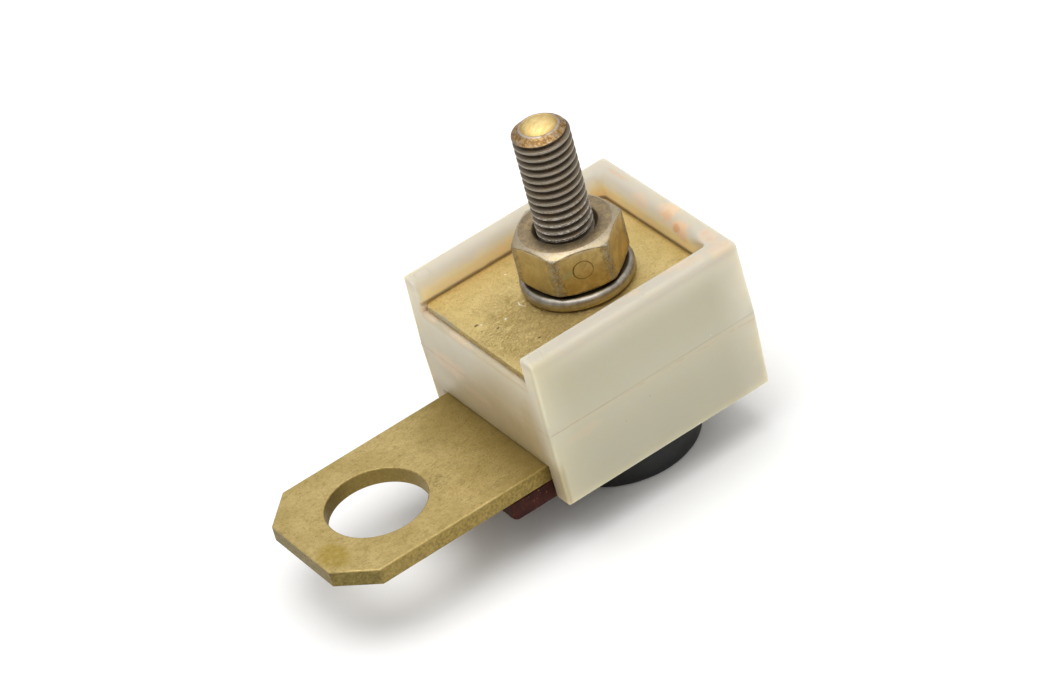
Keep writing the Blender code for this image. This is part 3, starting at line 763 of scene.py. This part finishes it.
class Finish:
    """One material, coloured in layers. Patterns are sized in millimetres, places and heights in metres."""

    def __init__(self, name, **values):
        self.material = bpy.data.materials.new(name)
        self.material.use_nodes = True
        self.tree = self.material.node_tree
        self.shader = self.tree.nodes["Principled BSDF"]
        self.place = add_node(self.tree, "TexCoord", {}, "Object")
        self.x, self.y, self.z = (add_node(self.tree, "SeparateXYZ", {0: self.place}, i) for i in range(3))
        for key, value in values.items():
            self.shader.inputs[key.replace("_", " ")].default_value = value

    def link(self, value, name):
        self.tree.links.new(value.socket, self.shader.inputs[name])

    def mix(self, amount, first, second):
        links = {0: amount}
        for index, value in ((6, first), (7, second)):
            links[index] = value if isinstance(value, Field) else (*value, 1.0)
        return add_node(self.tree, "Mix", links, 2, data_type="RGBA")

    def paint(self, amount, first, second):
        """Sets the base colour to a mixture of two."""
        self.colour = self.mix(amount, first, second)
        self.link(self.colour, "Base Color")

    def tint(self, amount, colour):
        """Lays a colour over the base colour, as far as the amount is above 0."""
        self.paint(amount, self.colour, colour)

    def along(self, stretch, degrees=0.0):
        """The place, turned about Z and squeezed, so that noise on it makes streaks."""
        turn = (0.0, 0.0, math.radians(degrees))
        links = {"Vector": self.place, "Rotation": turn, "Scale": stretch}
        return add_node(self.tree, "Mapping", links, vector_type="TEXTURE")

    def noise(self, size, detail=4.0, roughness=0.55, distortion=0.0, place=None):
        links = {"Vector": place or self.place, "Scale": 1.0 / (size * MM)}
        links.update(Detail=detail, Roughness=roughness, Distortion=distortion)
        return add_node(self.tree, "TexNoise", links, "Fac")

    def cells(self, size, place):
        """Distance to the nearest of some scattered points, in cells, and that point's own number."""
        links = {"Vector": place or self.place, "Scale": 1.0 / (size * MM)}
        distance = add_node(self.tree, "TexVoronoi", links, "Distance")
        colour = Field(self.tree, distance.socket.node.outputs["Color"])
        return distance, add_node(self.tree, "SeparateColor", {"Color": colour})

    def dots(self, size, radius, share, place=None):
        """1 on small dots, in a share of the cells."""
        distance, own = self.cells(size, place)
        return distance.rise(*radius) * own.rise(1.0 - share, 1.02 - share)

    def distance(self, centre=(0.0, 0.0, 0.0), reach=(1.0, 1.0, 1.0)):
        """Distance from a point, counted in reaches along each axis."""
        links = {"Vector": self.place, "Location": centre, "Scale": reach}
        local = add_node(self.tree, "Mapping", links, vector_type="TEXTURE")
        return add_node(self.tree, "VectorMath", {0: local}, "Value", operation="LENGTH")

    def spot(self, centre, reach, ragged=0.5, size=1.5):
        """1 within an ellipsoid in millimetres, falling to 0 at its ragged edge."""
        distance = self.distance(*(tuple(value * MM for value in triple) for triple in (centre, reach)))
        wobble = (self.noise(size) - 0.5) * (2.0 * ragged)
        return (distance + wobble).rise(1.0, 0.45)

    def relief(self, height, distance, strength=1.0, below=None):
        """Bumps of a depth in millimetres, on top of the ones below."""
        links = {"Height": height, "Distance": distance * MM, "Strength": strength}
        if below:
            links["Normal"] = below
        return add_node(self.tree, "Bump", links)

    def surface(self, roughness, relief):
        """Ends the material with its roughness and its relief."""
        self.link(roughness, "Roughness")
        self.link(relief, "Normal")
        return self.material


def ivory_nylon():
    """Aged natural nylon, milky and stained at the seam, with painted shade on its sides and rim, painted
    shade and bar reflection browning the front, and painted plate reflection gilding the pocket.
    """
    scattering = {"Subsurface_Scale": 4.5 * MM, "Subsurface_Radius": (1.0, 0.8, 0.5)}
    finish = Finish("ivory_nylon", Specular_IOR_Level=0.35, **scattering)
    finish.paint(finish.noise(11, 3.0).rise(0.35, 0.65), (0.7, 0.665, 0.545), (0.67, 0.625, 0.49))
    finish.tint(finish.noise(2, 5.0, 0.6).rise(0.45, 0.8) * 0.3, (0.75, 0.71, 0.6))
    low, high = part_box("upper_housing")
    side = on_side_face(finish, high)
    # Painted shade on the side faces, deepest in their middle.
    finish.tint(painted_side_shade(finish, low, high) * side * 0.85, (0.515, 0.48, 0.345))
    # Painted shade on the rim, so that the top reads no lighter than the upper side faces.
    rim_shade = finish.z.rise(high.z - 2.6 * MM, high.z - 0.5 * MM)
    finish.tint(rim_shade * 0.85, (0.53, 0.495, 0.42))
    # More painted shade low on the side faces.
    finish.tint(side * finish.z.rise(26 * MM, 12 * MM) * 0.4, (0.45, 0.43, 0.33))
    finish.tint(side * finish.x.rise(low.x + 10 * MM, low.x + MM) * 0.45, (0.58, 0.54, 0.37))
    front_face_shade(finish, low)
    pocket_plate_reflection(finish, high)
    stained_seam(finish)
    stains(finish)
    grime_by_plate(finish)
    specks(finish)
    finish.link(abs(finish.z - PARTING).rise(-1.5 * MM, 6 * MM), "Subsurface Weight")
    marks = finish.relief(pin_marks(finish, low, high), PIN_MARK_DEPTH)
    bumps = finish.relief(finish.noise(5, 2.0), 0.08, 0.5, marks)
    grain = finish.relief(finish.noise(0.4, 3.0), 0.008, 0.6, bumps)
    return finish.surface(0.38 + finish.noise(3, 4.0) * 0.16, grain)


def pin_marks(finish, low, high):
    """0 in the shallow round marks that the mould's ejector pins leave on the rim, 1 outside them."""
    side = high.y - WALL * 0.52
    front = low.x + WALL * 0.75
    back = high.x - WALL * 0.45
    places = ((front, side), (front - 0.7 * MM, -side), (0.5 * MM, -side), (back, -side + 0.6 * MM))
    height = 1.0
    for x, y in places:
        height *= finish.distance((x, y, high.z)).rise(PIN_MARK_RADIUS - 0.1 * MM, PIN_MARK_RADIUS)
    return height


def painted_side_shade(finish, low, high):
    """Where the side faces get painted shade: 1 in the middle of the block, 0 within a few millimetres of
    its edges.
    """
    from_front = finish.x.rise(low.x - 1.5 * MM, low.x + 6 * MM)
    from_back = finish.x.rise(high.x - 0.5 * MM, high.x - 8 * MM)
    from_top = finish.z.rise(high.z + 1.2 * MM, high.z - 6.5 * MM)
    return from_front * from_back * from_top


def on_side_face(finish, high):
    """1 on the block's outer side faces."""
    return abs(finish.y).rise(high.y - 1.6 * MM, high.y - 0.9 * MM)


def front_face_shade(finish, low):
    """The front face with painted shade and a painted warm reflection of the bar: darker and browner towards
    the bar and the near wall.
    """
    y, z = finish.y, finish.z
    front = finish.x.rise(low.x + 1.4 * MM, low.x + 0.6 * MM)
    down = z.rise(38 * MM, 20 * MM)
    across = y.rise(19 * MM, -8 * MM)
    wall_end = y.rise(-20.5 * MM, -14.5 * MM)
    patchy = 0.75 + finish.noise(4, 4.0) * 0.5
    finish.tint(front * down * (0.5 + across * 0.45) * wall_end * patchy, (0.44, 0.345, 0.195))
    # Painted shade on the front face just above the bar.
    finish.tint(front * z.rise(19.5 * MM, 15.5 * MM) * 0.55, (0.33, 0.255, 0.125))
    # Painted shade on the up-facing ledge in front of the top plate.
    within = abs(y).rise(16.4 * MM, 15.4 * MM)
    ledge = z.rise(31.2 * MM, 32.9 * MM) * z.rise(34.0 * MM, 33.1 * MM) * within
    ledge = ledge * finish.x.rise(low.x + 2.4 * MM, low.x + 1.2 * MM) * patchy
    finish.tint(ledge * 0.6, (0.44, 0.33, 0.2))


def pocket_plate_reflection(finish, high):
    """Painted reflection of the brass plate: the pocket walls yellow towards the plate at their foot."""
    z = finish.z
    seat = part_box("top_terminal_plate")[1].z
    within = abs(finish.y).rise(high.y - 1.2 * MM, high.y - 2.6 * MM)
    behind = finish.x.rise(high.x - 1.2 * MM, high.x - 2.6 * MM)
    up = z + (finish.noise(4, 3.0) - 0.5) * (1.6 * MM)
    # Painted golden reflection of the plate, fading up the walls.
    golden = up.rise(high.z - 0.2 * MM, seat) * z.rise(seat - 0.4 * MM, seat)
    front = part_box("upper_housing")[0].x
    amount = golden * within * behind * finish.x.rise(front + 0.3 * MM, front + 1.6 * MM)
    finish.tint(amount * 0.85, (0.97, 0.8, 0.44))


def stained_seam(finish):
    """A thin brown line that wanders about the parting plane, broken in places."""
    wander = (finish.noise(7, 2.0) - 0.5) * (1.2 * MM)
    away = abs(finish.z - (finish.x * -0.03 + (PARTING - 0.5 * MM) + wander))
    finish.tint(away.rise(2.2 * MM, 0.0) * 0.2, (0.66, 0.52, 0.33))
    broken = finish.noise(2.5, 4.0, distortion=0.5).rise(0.4, 0.58)
    finish.tint(away.rise(0.32 * MM, 0.05 * MM) * broken * 0.32, (0.52, 0.38, 0.21))


def stains(finish):
    """Rust and flux stains on the back wall, the rim and the front face."""
    rust = (0.62, 0.34, 0.16)
    peach = (0.74, 0.54, 0.36)
    tan = (0.46, 0.34, 0.17)
    marks = (
        ((18.2, -2.7, 38.9), (2.2, 3.0, 2.2), peach, 0.75),
        ((17.6, -3.0, 38.6), (1.1, 1.8, 1.3), rust, 0.32),
        ((16.9, -6.6, 38.0), (1.7, 2.8, 2.0), peach, 0.85),
        ((16.7, -6.3, 37.8), (1.0, 1.3, 1.2), rust, 0.65),
        ((16.5, -8.6, 37.2), (0.9, 1.6, 1.2), peach, 0.6),
        ((17.8, -14.4, 38.8), (2.2, 3.4, 1.4), peach, 0.35),
        ((17.6, -14.8, 38.8), (0.9, 0.7, 1.0), rust, 0.22),
        ((18.3, -13.0, 38.9), (0.9, 0.6, 1.0), rust, 0.2),
        ((17.8, -18.2, 39.0), (2.8, 2.0, 1.6), peach, 0.4),
        ((12.0, -17.4, 39.0), (4.2, 1.4, 1.4), peach, 0.3),
        ((17.1, 4.7, 38.3), (1.4, 3.4, 1.2), peach, 0.35),
        ((18.6, 12.8, 38.9), (0.5, 4.2, 0.8), rust, 0.3),
        ((0.5, -16.6, 39.0), (2.2, 1.2, 1.2), peach, 0.4),
        ((8.5, -16.4, 39.0), (4.6, 0.9, 1.2), peach, 0.35),
        ((-22.0, 14.2, 33.4), (1.4, 3.0, 1.6), peach, 0.6),
        ((-22.6, 4.6, 32.6), (1.6, 5.0, 0.8), peach, 0.6),
        ((-22.6, 10.5, 24.4), (1.6, 6.0, 2.6), peach, 0.5),
        ((-22.6, 3.5, 21.6), (1.6, 4.6, 1.2), peach, 0.25),
        ((-22.6, -13.2, 22.2), (1.6, 2.2, 8.5), tan, 0.42),
        ((-16.0, -19.6, 21.6), (5.5, 1.2, 1.3), peach, 0.2),
    )
    for centre, reach, tint, amount in marks:
        finish.tint(finish.spot(centre, reach, 0.7, 1.8) * amount, tint)


def grime_by_plate(finish):
    """Brown grime where the walls meet the top plate and the bar."""
    across = abs(finish.y).rise(16.1 * MM, 15.7 * MM)
    inside = across * finish.x.rise(16.9 * MM, 16.5 * MM)
    reach = 0.15 * MM + finish.noise(3) * (0.9 * MM)
    for seat in (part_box("top_terminal_plate")[1].z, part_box("terminal_bar")[1].z):
        line = (abs(finish.z - seat) / reach).rise(1.0, 0.1)
        finish.tint(line * inside * 0.75, (0.4, 0.26, 0.09))


def specks(finish):
    """Scattered dark specks and pale ones."""
    finish.tint(finish.dots(2.6, (0.055, 0.03), 0.2) * 0.6, (0.2, 0.17, 0.1))
    pale = finish.dots(1.9, (0.07, 0.03), 0.14, finish.along((1, 1, 1.7), 20.0))
    finish.tint(pale * 0.5, (0.95, 0.93, 0.86))


def scratches(finish, degrees, size, length, low, high):
    """Streaks along a direction on the plate: 1 on a scratch, 0 between."""
    swirl = finish.along((length, 1.0, 1.0), degrees)
    return finish.noise(size, 2.0, 0.6, 1.4, swirl).rise(low, high)


def scribbles(finish, size, degrees):
    """Thin winding lines: 1 on a line, 0 between."""
    winding = finish.noise(size, 3.0, 0.6, 1.8, finish.along((2.4, 1.0, 1.0), degrees))
    return abs(winding - 0.5).rise(0.022, 0.004)


def brass(name, pale, deep, dark):
    """Sheet brass with a coarse grain, soft clouds and dark specks in the grain."""
    finish = Finish(name, Metallic=1.0)
    grain = finish.noise(0.42, 4.0, 0.75)
    mottle = finish.noise(1.3, 4.0, 0.65)
    clouds = finish.noise(6.0, 4.0, 0.6, 0.4)
    finish.paint(clouds.rise(0.32, 0.68), deep, pale)
    finish.tint(mottle.rise(0.48, 0.72) * 0.35, dark)
    finish.tint(grain.rise(0.5, 0.72) * 0.6, dark)
    finish.tint(grain.rise(0.46, 0.26) * 0.45, pale)
    return finish, grain


def shaded_sides(finish, top, amount, tint):
    """Painted shade on the sawn side faces, which read darker than the rolled top face, with a coarser grain
    of their own.
    """
    side = finish.z.rise(top - 0.16 * MM, top - 0.34 * MM)
    grain = finish.noise(0.6, 5.0, 0.85).rise(0.36, 0.64)
    deep, pale = (tuple(part * share for part in tint) for share in (0.6, 1.42))
    finish.tint(side * amount, finish.mix(grain, deep, pale))


def bright_brass():
    """The top plate: golden, dimpled, scratched across one corner and pitted, with painted shade on its side
    faces.
    """
    finish, grain = brass("brass_sheet", (0.755, 0.6, 0.275), (0.675, 0.53, 0.22), (0.39, 0.27, 0.08))
    worn = finish.spot((-13.0, -6.0, 34.5), (11.0, 15.0, 4.0), 0.5, 5)
    across = scratches(finish, 14.0, 0.2, 9.0, 0.57, 0.66)
    swirls = scribbles(finish, 1.5, -35.0).most(scribbles(finish, 1.0, 40.0))
    lines = (across * (worn + 0.12)).most(swirls * (worn + 0.2))
    finish.tint(lines * 0.5, (0.42, 0.28, 0.09))
    pits(finish, 1.3, 0.1)
    hair_line(finish)
    chips(finish)
    # Painted shade on the plate's side faces.
    shaded_sides(finish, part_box("top_terminal_plate")[1].z, 0.75, (0.34, 0.255, 0.09))
    finish.tint(finish.spot((-21.6, 9.5, 33.9), (0.9, 5.5, 0.8), 0.4) * 0.6, (0.42, 0.38, 0.3))
    foot = abs(finish.y).rise(14.6 * MM, 15.3 * MM).most(finish.x.rise(15.4 * MM, 16.1 * MM))
    finish.tint(foot * 0.6, (0.36, 0.24, 0.07))
    peel = finish.noise(0.8, 3.0, 0.6, 1.5)
    wavy = finish.relief(peel + finish.noise(1.6, 3.0), 0.1, 0.6)
    bumps = finish.relief(grain * 0.5 - lines * 0.9, 0.07, 0.9, wavy)
    return finish.surface(0.42 + grain * 0.1 + lines * 0.1, bumps)


def pits(finish, size, share):
    """Dark pits."""
    finish.tint(finish.dots(size, (0.16, 0.08), share) * 0.75, (0.16, 0.1, 0.03))


def chips(finish):
    """A few dark nicks and pale flecks near the plate's front edge."""
    nicks = ((-19.3, 3.15, 0.55), (-17.2, -0.4, 0.35), (-14.0, -8.2, 0.4), (-9.6, -2.4, 0.3))
    for x, y, reach in nicks:
        spot = finish.spot((x, y, 34.5), (reach, reach * 0.6, 1.0), 0.6, 0.3)
        finish.tint(spot * 0.85, (0.09, 0.06, 0.03))
    for x, y, reach in ((-14.9, 0.7, 0.35), (-7.8, 11.0, 0.25), (-18.6, 2.7, 0.25)):
        spot = finish.spot((x, y, 34.5), (reach, reach, 1.0), 0.5, 0.3)
        finish.tint(spot * 0.8, (0.96, 0.92, 0.8))


def hair_line(finish):
    """A short pale curved scratch beside the washer."""
    away = abs(finish.distance((-9.33 * MM, 1.97 * MM, 34.5 * MM)) - 1.69 * MM)
    part = finish.spot((-10.95, 1.75, 34.5), (0.75, 1.45, 1.0), 0.05)
    finish.tint(away.rise(0.12 * MM, 0.04 * MM) * part, (1.0, 0.97, 0.88))


def tarnished_brass():
    """The terminal bar: duller and greener, with a grainy skin, smudges, a stain near its end, and painted
    shade towards the block and on its side and end faces.
    """
    finish, grain = brass("brass_bar", (0.63, 0.49, 0.215), (0.53, 0.405, 0.16), (0.25, 0.17, 0.045))
    # Painted shade on the bar towards the block.
    finish.tint(finish.x.rise(-36.0 * MM, -23.0 * MM) * 0.66, (0.235, 0.165, 0.04))
    smudge = finish.spot((-37.4, -3.2, 15.9), (1.8, 2.6, 2.0), 1.2, 0.6)
    speckle = finish.noise(0.7, 4.0, 0.8).rise(0.4, 0.62)
    finish.tint(smudge * speckle * 0.6, (0.2, 0.145, 0.045))
    smudge = finish.spot((-31.0, 6.5, 15.9), (4.6, 4.6, 2.0), 1.2, 1.2)
    finish.tint(smudge * 0.2, (0.26, 0.19, 0.06))
    oval = finish.spot((-60.0, -6.0, 15.9), (3.4, 4.6, 1.2), 0.25, 1.0)
    finish.tint(oval * (0.5 + speckle * 0.5), (0.42, 0.3, 0.055))
    lines = scratches(finish, 12.0, 0.25, 14.0, 0.62, 0.7)
    finish.tint(lines * 0.22, (0.32, 0.22, 0.08))
    pits(finish, 0.8, 0.16)
    coarse = finish.noise(0.8, 5.0, 0.85).rise(0.38, 0.64)
    finish.tint(coarse * 0.28, (0.34, 0.24, 0.07))
    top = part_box("terminal_bar")[1].z
    # Painted shade on the bar's side faces.
    shaded_sides(finish, top, 0.8, (0.25, 0.18, 0.05))
    # Deeper painted shade on the bar's end faces.
    shaded_end = finish.x.rise(-55.5 * MM, -57.5 * MM)
    shaded_sides(finish, top, shaded_end * 0.75, (0.155, 0.12, 0.04))
    finish.tint(bore_wall(finish) * (0.35 + coarse * 0.4), (0.26, 0.18, 0.05))
    wavy = finish.relief(finish.noise(2.5, 3.0), 0.08, 0.5)
    return finish.surface(0.42 + grain * 0.16, finish.relief(grain * 0.8 - lines * 0.5, 0.07, 0.9, wavy))


def bore_wall(finish):
    """1 on the wall of the post hole."""
    distance = finish.distance((POST_HOLE_X, 0.0, 0.0), ACROSS_ONLY)
    return distance.rise(POST_HOLE_RADIUS + 0.25 * MM, POST_HOLE_RADIUS + 0.12 * MM)


def red_fibre():
    """Vulcanised fibre: dark maroon, with rust-coloured flecks and faint darker layers."""
    finish = Finish("red_fibre", Roughness=0.65, Specular_IOR_Level=0.12)
    finish.paint(finish.noise(2.4, 5.0).rise(0.35, 0.7), (0.03, 0.008, 0.006), (0.058, 0.014, 0.009))
    finish.tint(finish.noise(0.5, 3.0, 0.7).rise(0.6, 0.72) * 0.75, (0.33, 0.11, 0.035))
    layers = finish.noise(0.5, 2.0, 0.5, 0.3, finish.along((40, 40, 1)))
    finish.tint(layers * 0.25, (0.02, 0.006, 0.005))
    finish.link(finish.relief(layers, 0.05, 0.6), "Normal")
    return finish.material


def black_rubber():
    """Moulded black rubber, dusty and faintly marbled."""
    finish = Finish("black_rubber", Specular_IOR_Level=0.35)
    dust = finish.noise(1.6, 5.0, 0.7).rise(0.5, 0.85)
    finish.paint(dust * 0.3, (0.012, 0.012, 0.012), (0.055, 0.053, 0.05))
    grain = finish.relief(finish.noise(0.5, 3.0), 0.01, 0.6)
    return finish.surface(0.34 + finish.noise(2, 3.0) * 0.2, grain)


def rolled_steel(end):
    """The stud: worn grey crests over dark oily roots, a painted highlight on the lower crests, and a brassy
    end.
    """
    finish = Finish("rolled_steel", Metallic=1.0)
    radius = finish.distance(reach=ACROSS_ONLY)
    z = finish.z
    streaks = finish.noise(0.45, 4.0, 0.7, 0.6, finish.along((1, 1, 0.35)))
    patches = finish.noise(2.6, 4.0, 0.65)
    flank = radius.rise(4.15 * MM, 4.75 * MM)
    finish.paint(flank, (0.105, 0.083, 0.06), (0.225, 0.187, 0.138))
    finish.tint(patches.rise(0.48, 0.7) * 0.55, (0.24, 0.155, 0.08))
    crest = radius.rise(4.86 * MM, 4.92 * MM)
    finish.tint(crest * streaks.rise(0.34, 0.56), (0.4, 0.36, 0.3))
    finish.tint(streaks.rise(0.52, 0.75) * 0.45, (0.07, 0.058, 0.042))
    # Painted highlight on the worn crests of the lower turns, near white.
    lower_crest_highlight = z.rise(55 * MM, 47 * MM)
    finish.tint(crest * lower_crest_highlight * streaks.rise(0.5, 0.58) * 0.9, (0.88, 0.87, 0.86))
    chamfer = z.rise(end - 1.12 * MM, end - 0.98 * MM)
    tan = finish.mix(finish.noise(0.6, 5.0, 0.75).rise(0.42, 0.6), (0.25, 0.14, 0.05), (0.5, 0.335, 0.15))
    greyed = finish.noise(0.9, 4.0, 0.7).rise(0.5, 0.62) * 0.4
    finish.tint(chamfer, finish.mix(greyed, tan, (0.4, 0.36, 0.32)))
    rim = radius.rise(3.12 * MM, 3.22 * MM) * z.rise(end - 0.15 * MM, end - 0.05 * MM)
    finish.tint(rim * patches.rise(0.35, 0.6) * 0.75, (0.5, 0.46, 0.42))
    dome = radius.rise(3.2 * MM, 3.08 * MM) * z.rise(end - 0.4 * MM, end - 0.2 * MM)
    brushed = finish.noise(0.7, 5.0, 0.7, 0.0, finish.along((3, 1, 1), 25.0))
    gold = finish.mix(brushed.rise(0.35, 0.7), (0.8, 0.58, 0.22), (0.96, 0.78, 0.4))
    edge = radius.rise(1.6 * MM, 3.1 * MM) * 0.6
    finish.tint(dome, finish.mix(edge, gold, (0.5, 0.36, 0.12)))
    pitted = finish.relief(finish.noise(0.35, 4.0, 0.7), 0.05, 0.8)
    return finish.surface(0.46 + streaks * 0.14, finish.relief(streaks, 0.05, 0.8, pitted))


def chamfer_highlight(finish, radius, low, high, flecks):
    """Painted highlight on the chamfers, pale and flecked, with a dark broken line along the flats beside
    them.
    """
    z = finish.z
    from_end = (z - low).least(high - z)
    cone = CHAMFER_CIRCLE + from_end * (1.0 / CHAMFER_SLOPE)
    gap = cone - radius
    cone_highlight = gap.rise(0.14 * MM, 0.05 * MM) * radius.rise(7.9 * MM, 8.2 * MM)
    finish.tint(cone_highlight * flecks.rise(0.36, 0.58) * 0.5, (0.56, 0.49, 0.39))
    beside = gap.rise(0.1 * MM, 0.22 * MM) * gap.rise(0.55 * MM, 0.34 * MM)
    beside = beside * radius.rise(8.15 * MM, 8.4 * MM)
    broken = finish.noise(0.9, 4.0, 0.7).rise(0.42, 0.54)
    finish.tint(beside * broken * 0.75, (0.11, 0.085, 0.055))


def yellow_zinc(low, high):
    """The nut: bronze-gold plating, tan and flecked on top, scuffed grey along its corners, with painted
    highlights on its chamfers and painted shade towards the bar.
    """
    finish = Finish("yellow_zinc", Metallic=1.0)
    z = finish.z
    radius = finish.distance(reach=ACROSS_ONLY)
    clouds = finish.noise(2.4, 5.0, 0.65, 0.5)
    flecks = finish.noise(0.4, 4.0, 0.75)
    finish.paint(clouds.rise(0.35, 0.68), (0.45, 0.335, 0.13), (0.62, 0.48, 0.205))
    # Painted shade on the side of the nut towards the bar.
    finish.tint(finish.x.rise(-4.0 * MM, -8.0 * MM) * 0.45, (0.34, 0.25, 0.095))
    on_top = z.rise(high - 0.5 * MM, high - 0.05 * MM)
    mottled = finish.noise(1.1, 5.0, 0.75, 0.8).rise(0.46, 0.58)
    tan = finish.mix(mottled, (0.27, 0.215, 0.155), (0.41, 0.31, 0.18))
    finish.tint(on_top * 0.85, tan)
    # Painted highlight along the nut's top edge, pale and flecked.
    rim = radius.rise(7.95 * MM, 8.15 * MM) * z.rise(high - 1.2 * MM, high - 0.6 * MM)
    finish.tint(rim * flecks.rise(0.3, 0.55) * 0.55, (0.6, 0.52, 0.39))
    # Painted highlight on the chamfers.
    chamfer_highlight(finish, radius, low, high, flecks)
    corner = radius.rise(9.2 * MM, 9.55 * MM)
    scuffs = finish.noise(0.9, 5.0, 0.75)
    scuffed = corner * scuffs.rise(0.42, 0.56)
    finish.tint(scuffed * 0.7, (0.33, 0.3, 0.25))
    outline = radius.rise(9.1 * MM, 9.3 * MM) * scuffs.rise(0.5, 0.46) * scuffs.rise(0.41, 0.45)
    finish.tint(outline * 0.7, (0.1, 0.08, 0.052))
    green = finish.spot((-5.4, -8.2, 41.8), (2.0, 2.0, 1.3), 0.9, 0.8)
    finish.tint(green * 0.5, (0.36, 0.44, 0.27))
    finish.tint(radius.rise(5.72 * MM, 5.5 * MM) * 0.75, (0.13, 0.1, 0.06))
    finish.tint(flecks.rise(0.56, 0.74) * 0.55, (0.15, 0.11, 0.055))
    finish.tint(flecks.rise(0.38, 0.28) * 0.4, (0.66, 0.55, 0.36))
    dents = finish.relief(scuffed * -1.0, 0.08, 0.8)
    return finish.surface(0.4 + flecks * 0.14 + on_top * 0.06, finish.relief(flecks, 0.05, 0.8, dents))


def washer_steel():
    """The washer: bright and cloudy, with a painted brass reflection on its lower edge and painted shade
    with dirt inside, under the nut.
    """
    finish = Finish("washer_steel", Metallic=1.0)
    clouds = finish.noise(1.6, 5.0, 0.7)
    finish.paint(clouds.rise(0.35, 0.7), (0.27, 0.245, 0.205), (0.42, 0.385, 0.33))
    # Painted reflection of the brass plate on the washer's lower edge.
    finish.tint(finish.z.rise(35.9 * MM, 35.3 * MM) * 0.7, (0.3, 0.225, 0.08))
    # Painted shade, with dirt, inside the washer under the nut.
    inner = finish.distance(reach=ACROSS_ONLY).rise(9.3 * MM, 8.9 * MM)
    finish.tint(inner * 0.85, (0.035, 0.028, 0.018))
    return finish.surface(0.3 + clouds * 0.16, finish.relief(finish.noise(0.4, 4.0, 0.6), 0.03, 0.7))


def drawn_metal(name, pale, deep, roughness):
    """Plain metal with lengthwise drawing marks, for the pieces inside the block."""
    finish = Finish(name, Metallic=1.0)
    lines = finish.noise(0.3, 3.0, 0.5, 0.0, finish.along((1, 1, 12)))
    finish.paint(lines, deep, pale)
    return finish.surface(roughness + lines * 0.1, finish.relief(lines, 0.02, 0.6))


def phenolic():
    """Layered brown resin."""
    finish = Finish("phenolic", Specular_IOR_Level=0.45)
    layers = finish.noise(0.6, 4.0, 0.5, 0.5)
    finish.paint(layers, (0.13, 0.05, 0.015), (0.26, 0.12, 0.04))
    finish.link(0.42 + layers * 0.15, "Roughness")
    return finish.material


def finish_inner_nodes():
    """Materials for the nodes inside the block, which keep their own shapes."""
    inner = {
        "resistor_rod": drawn_metal("manganin", (0.62, 0.46, 0.34), (0.44, 0.31, 0.22), 0.34),
        "sense_pin": drawn_metal("turned_brass", (0.70, 0.54, 0.24), (0.52, 0.38, 0.14), 0.3),
        "head_washer": drawn_metal("plated_steel", (0.55, 0.52, 0.46), (0.42, 0.39, 0.34), 0.35),
        "bolt_sleeve": phenolic(),
    }
    for name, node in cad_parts.items():
        for start, material in inner.items():
            if name.startswith(start):
                node.data.materials.clear()
                node.data.materials.append(material)


# ---------------------------------------------------------------- room, lights and camera

def build_floor():
    floor = block("floor", (-6.0, -6.0, -0.02), (6.0, 6.0, 0.0))
    finish = Finish("pale_floor", Roughness=0.7, Specular_IOR_Level=0.2)
    finish.paint(finish.noise(200, 3.0), (0.93, 0.93, 0.925), (0.95, 0.95, 0.945))
    floor.data.materials.append(finish.material)


def build_sky():
    """A studio dome, bright overhead and dim at the horizon, so that tops are lighter than sides."""
    world = bpy.data.worlds.new("studio")
    world.use_nodes = True
    tree = world.node_tree
    background = tree.nodes["Background"]
    background.inputs["Color"].default_value = (1.0, 1.0, 1.0, 1.0)
    direction = add_node(tree, "TexCoord", {}, "Generated")
    height = add_node(tree, "VectorMath", {0: direction, 1: SKY_AXIS}, "Value", operation="DOT_PRODUCT")
    climb = {"Value": height, "From Min": 0.0, "From Max": SKY_TOP, "To Min": SKY_LOW, "To Max": SKY_HIGH}
    strength = add_node(tree, "MapRange", climb, interpolation_type="SMOOTHSTEP")
    tree.links.new(strength.socket, background.inputs["Strength"])
    bpy.context.scene.world = world


def build_lamp():
    """One large soft disk of light overhead."""
    lamp = bpy.data.lights.new("overhead", "AREA")
    lamp.shape = "DISK"
    lamp.size = LAMP_WIDTH
    lamp.energy = LAMP_POWER
    made = add_object("overhead", lamp)
    made.location = LAMP_PLACE
    made.rotation_euler = (LAMP_TARGET - LAMP_PLACE).to_track_quat("-Z", "Y").to_euler()


def build_camera():
    camera = bpy.data.cameras.new("camera")
    camera.lens = CAMERA_LENS
    camera.sensor_width = 36.0
    camera.clip_start = 0.01
    made = add_object("camera", camera)
    aim = (CAMERA_TARGET - CAMERA_PLACE).to_track_quat("-Z", "Y").to_matrix().to_4x4()
    roll = Matrix.Rotation(CAMERA_ROLL, 4, "Z")
    made.matrix_world = Matrix.Translation(CAMERA_PLACE) @ aim @ roll
    bpy.context.scene.camera = made


bpy.context.scene.view_settings.view_transform = "Standard"
build_camera()
build_block()
build_plates()
build_bolt()
build_nut()
build_washers()
build_cap()
build_grommet()
finish_inner_nodes()
build_floor()
build_sky()
build_lamp()
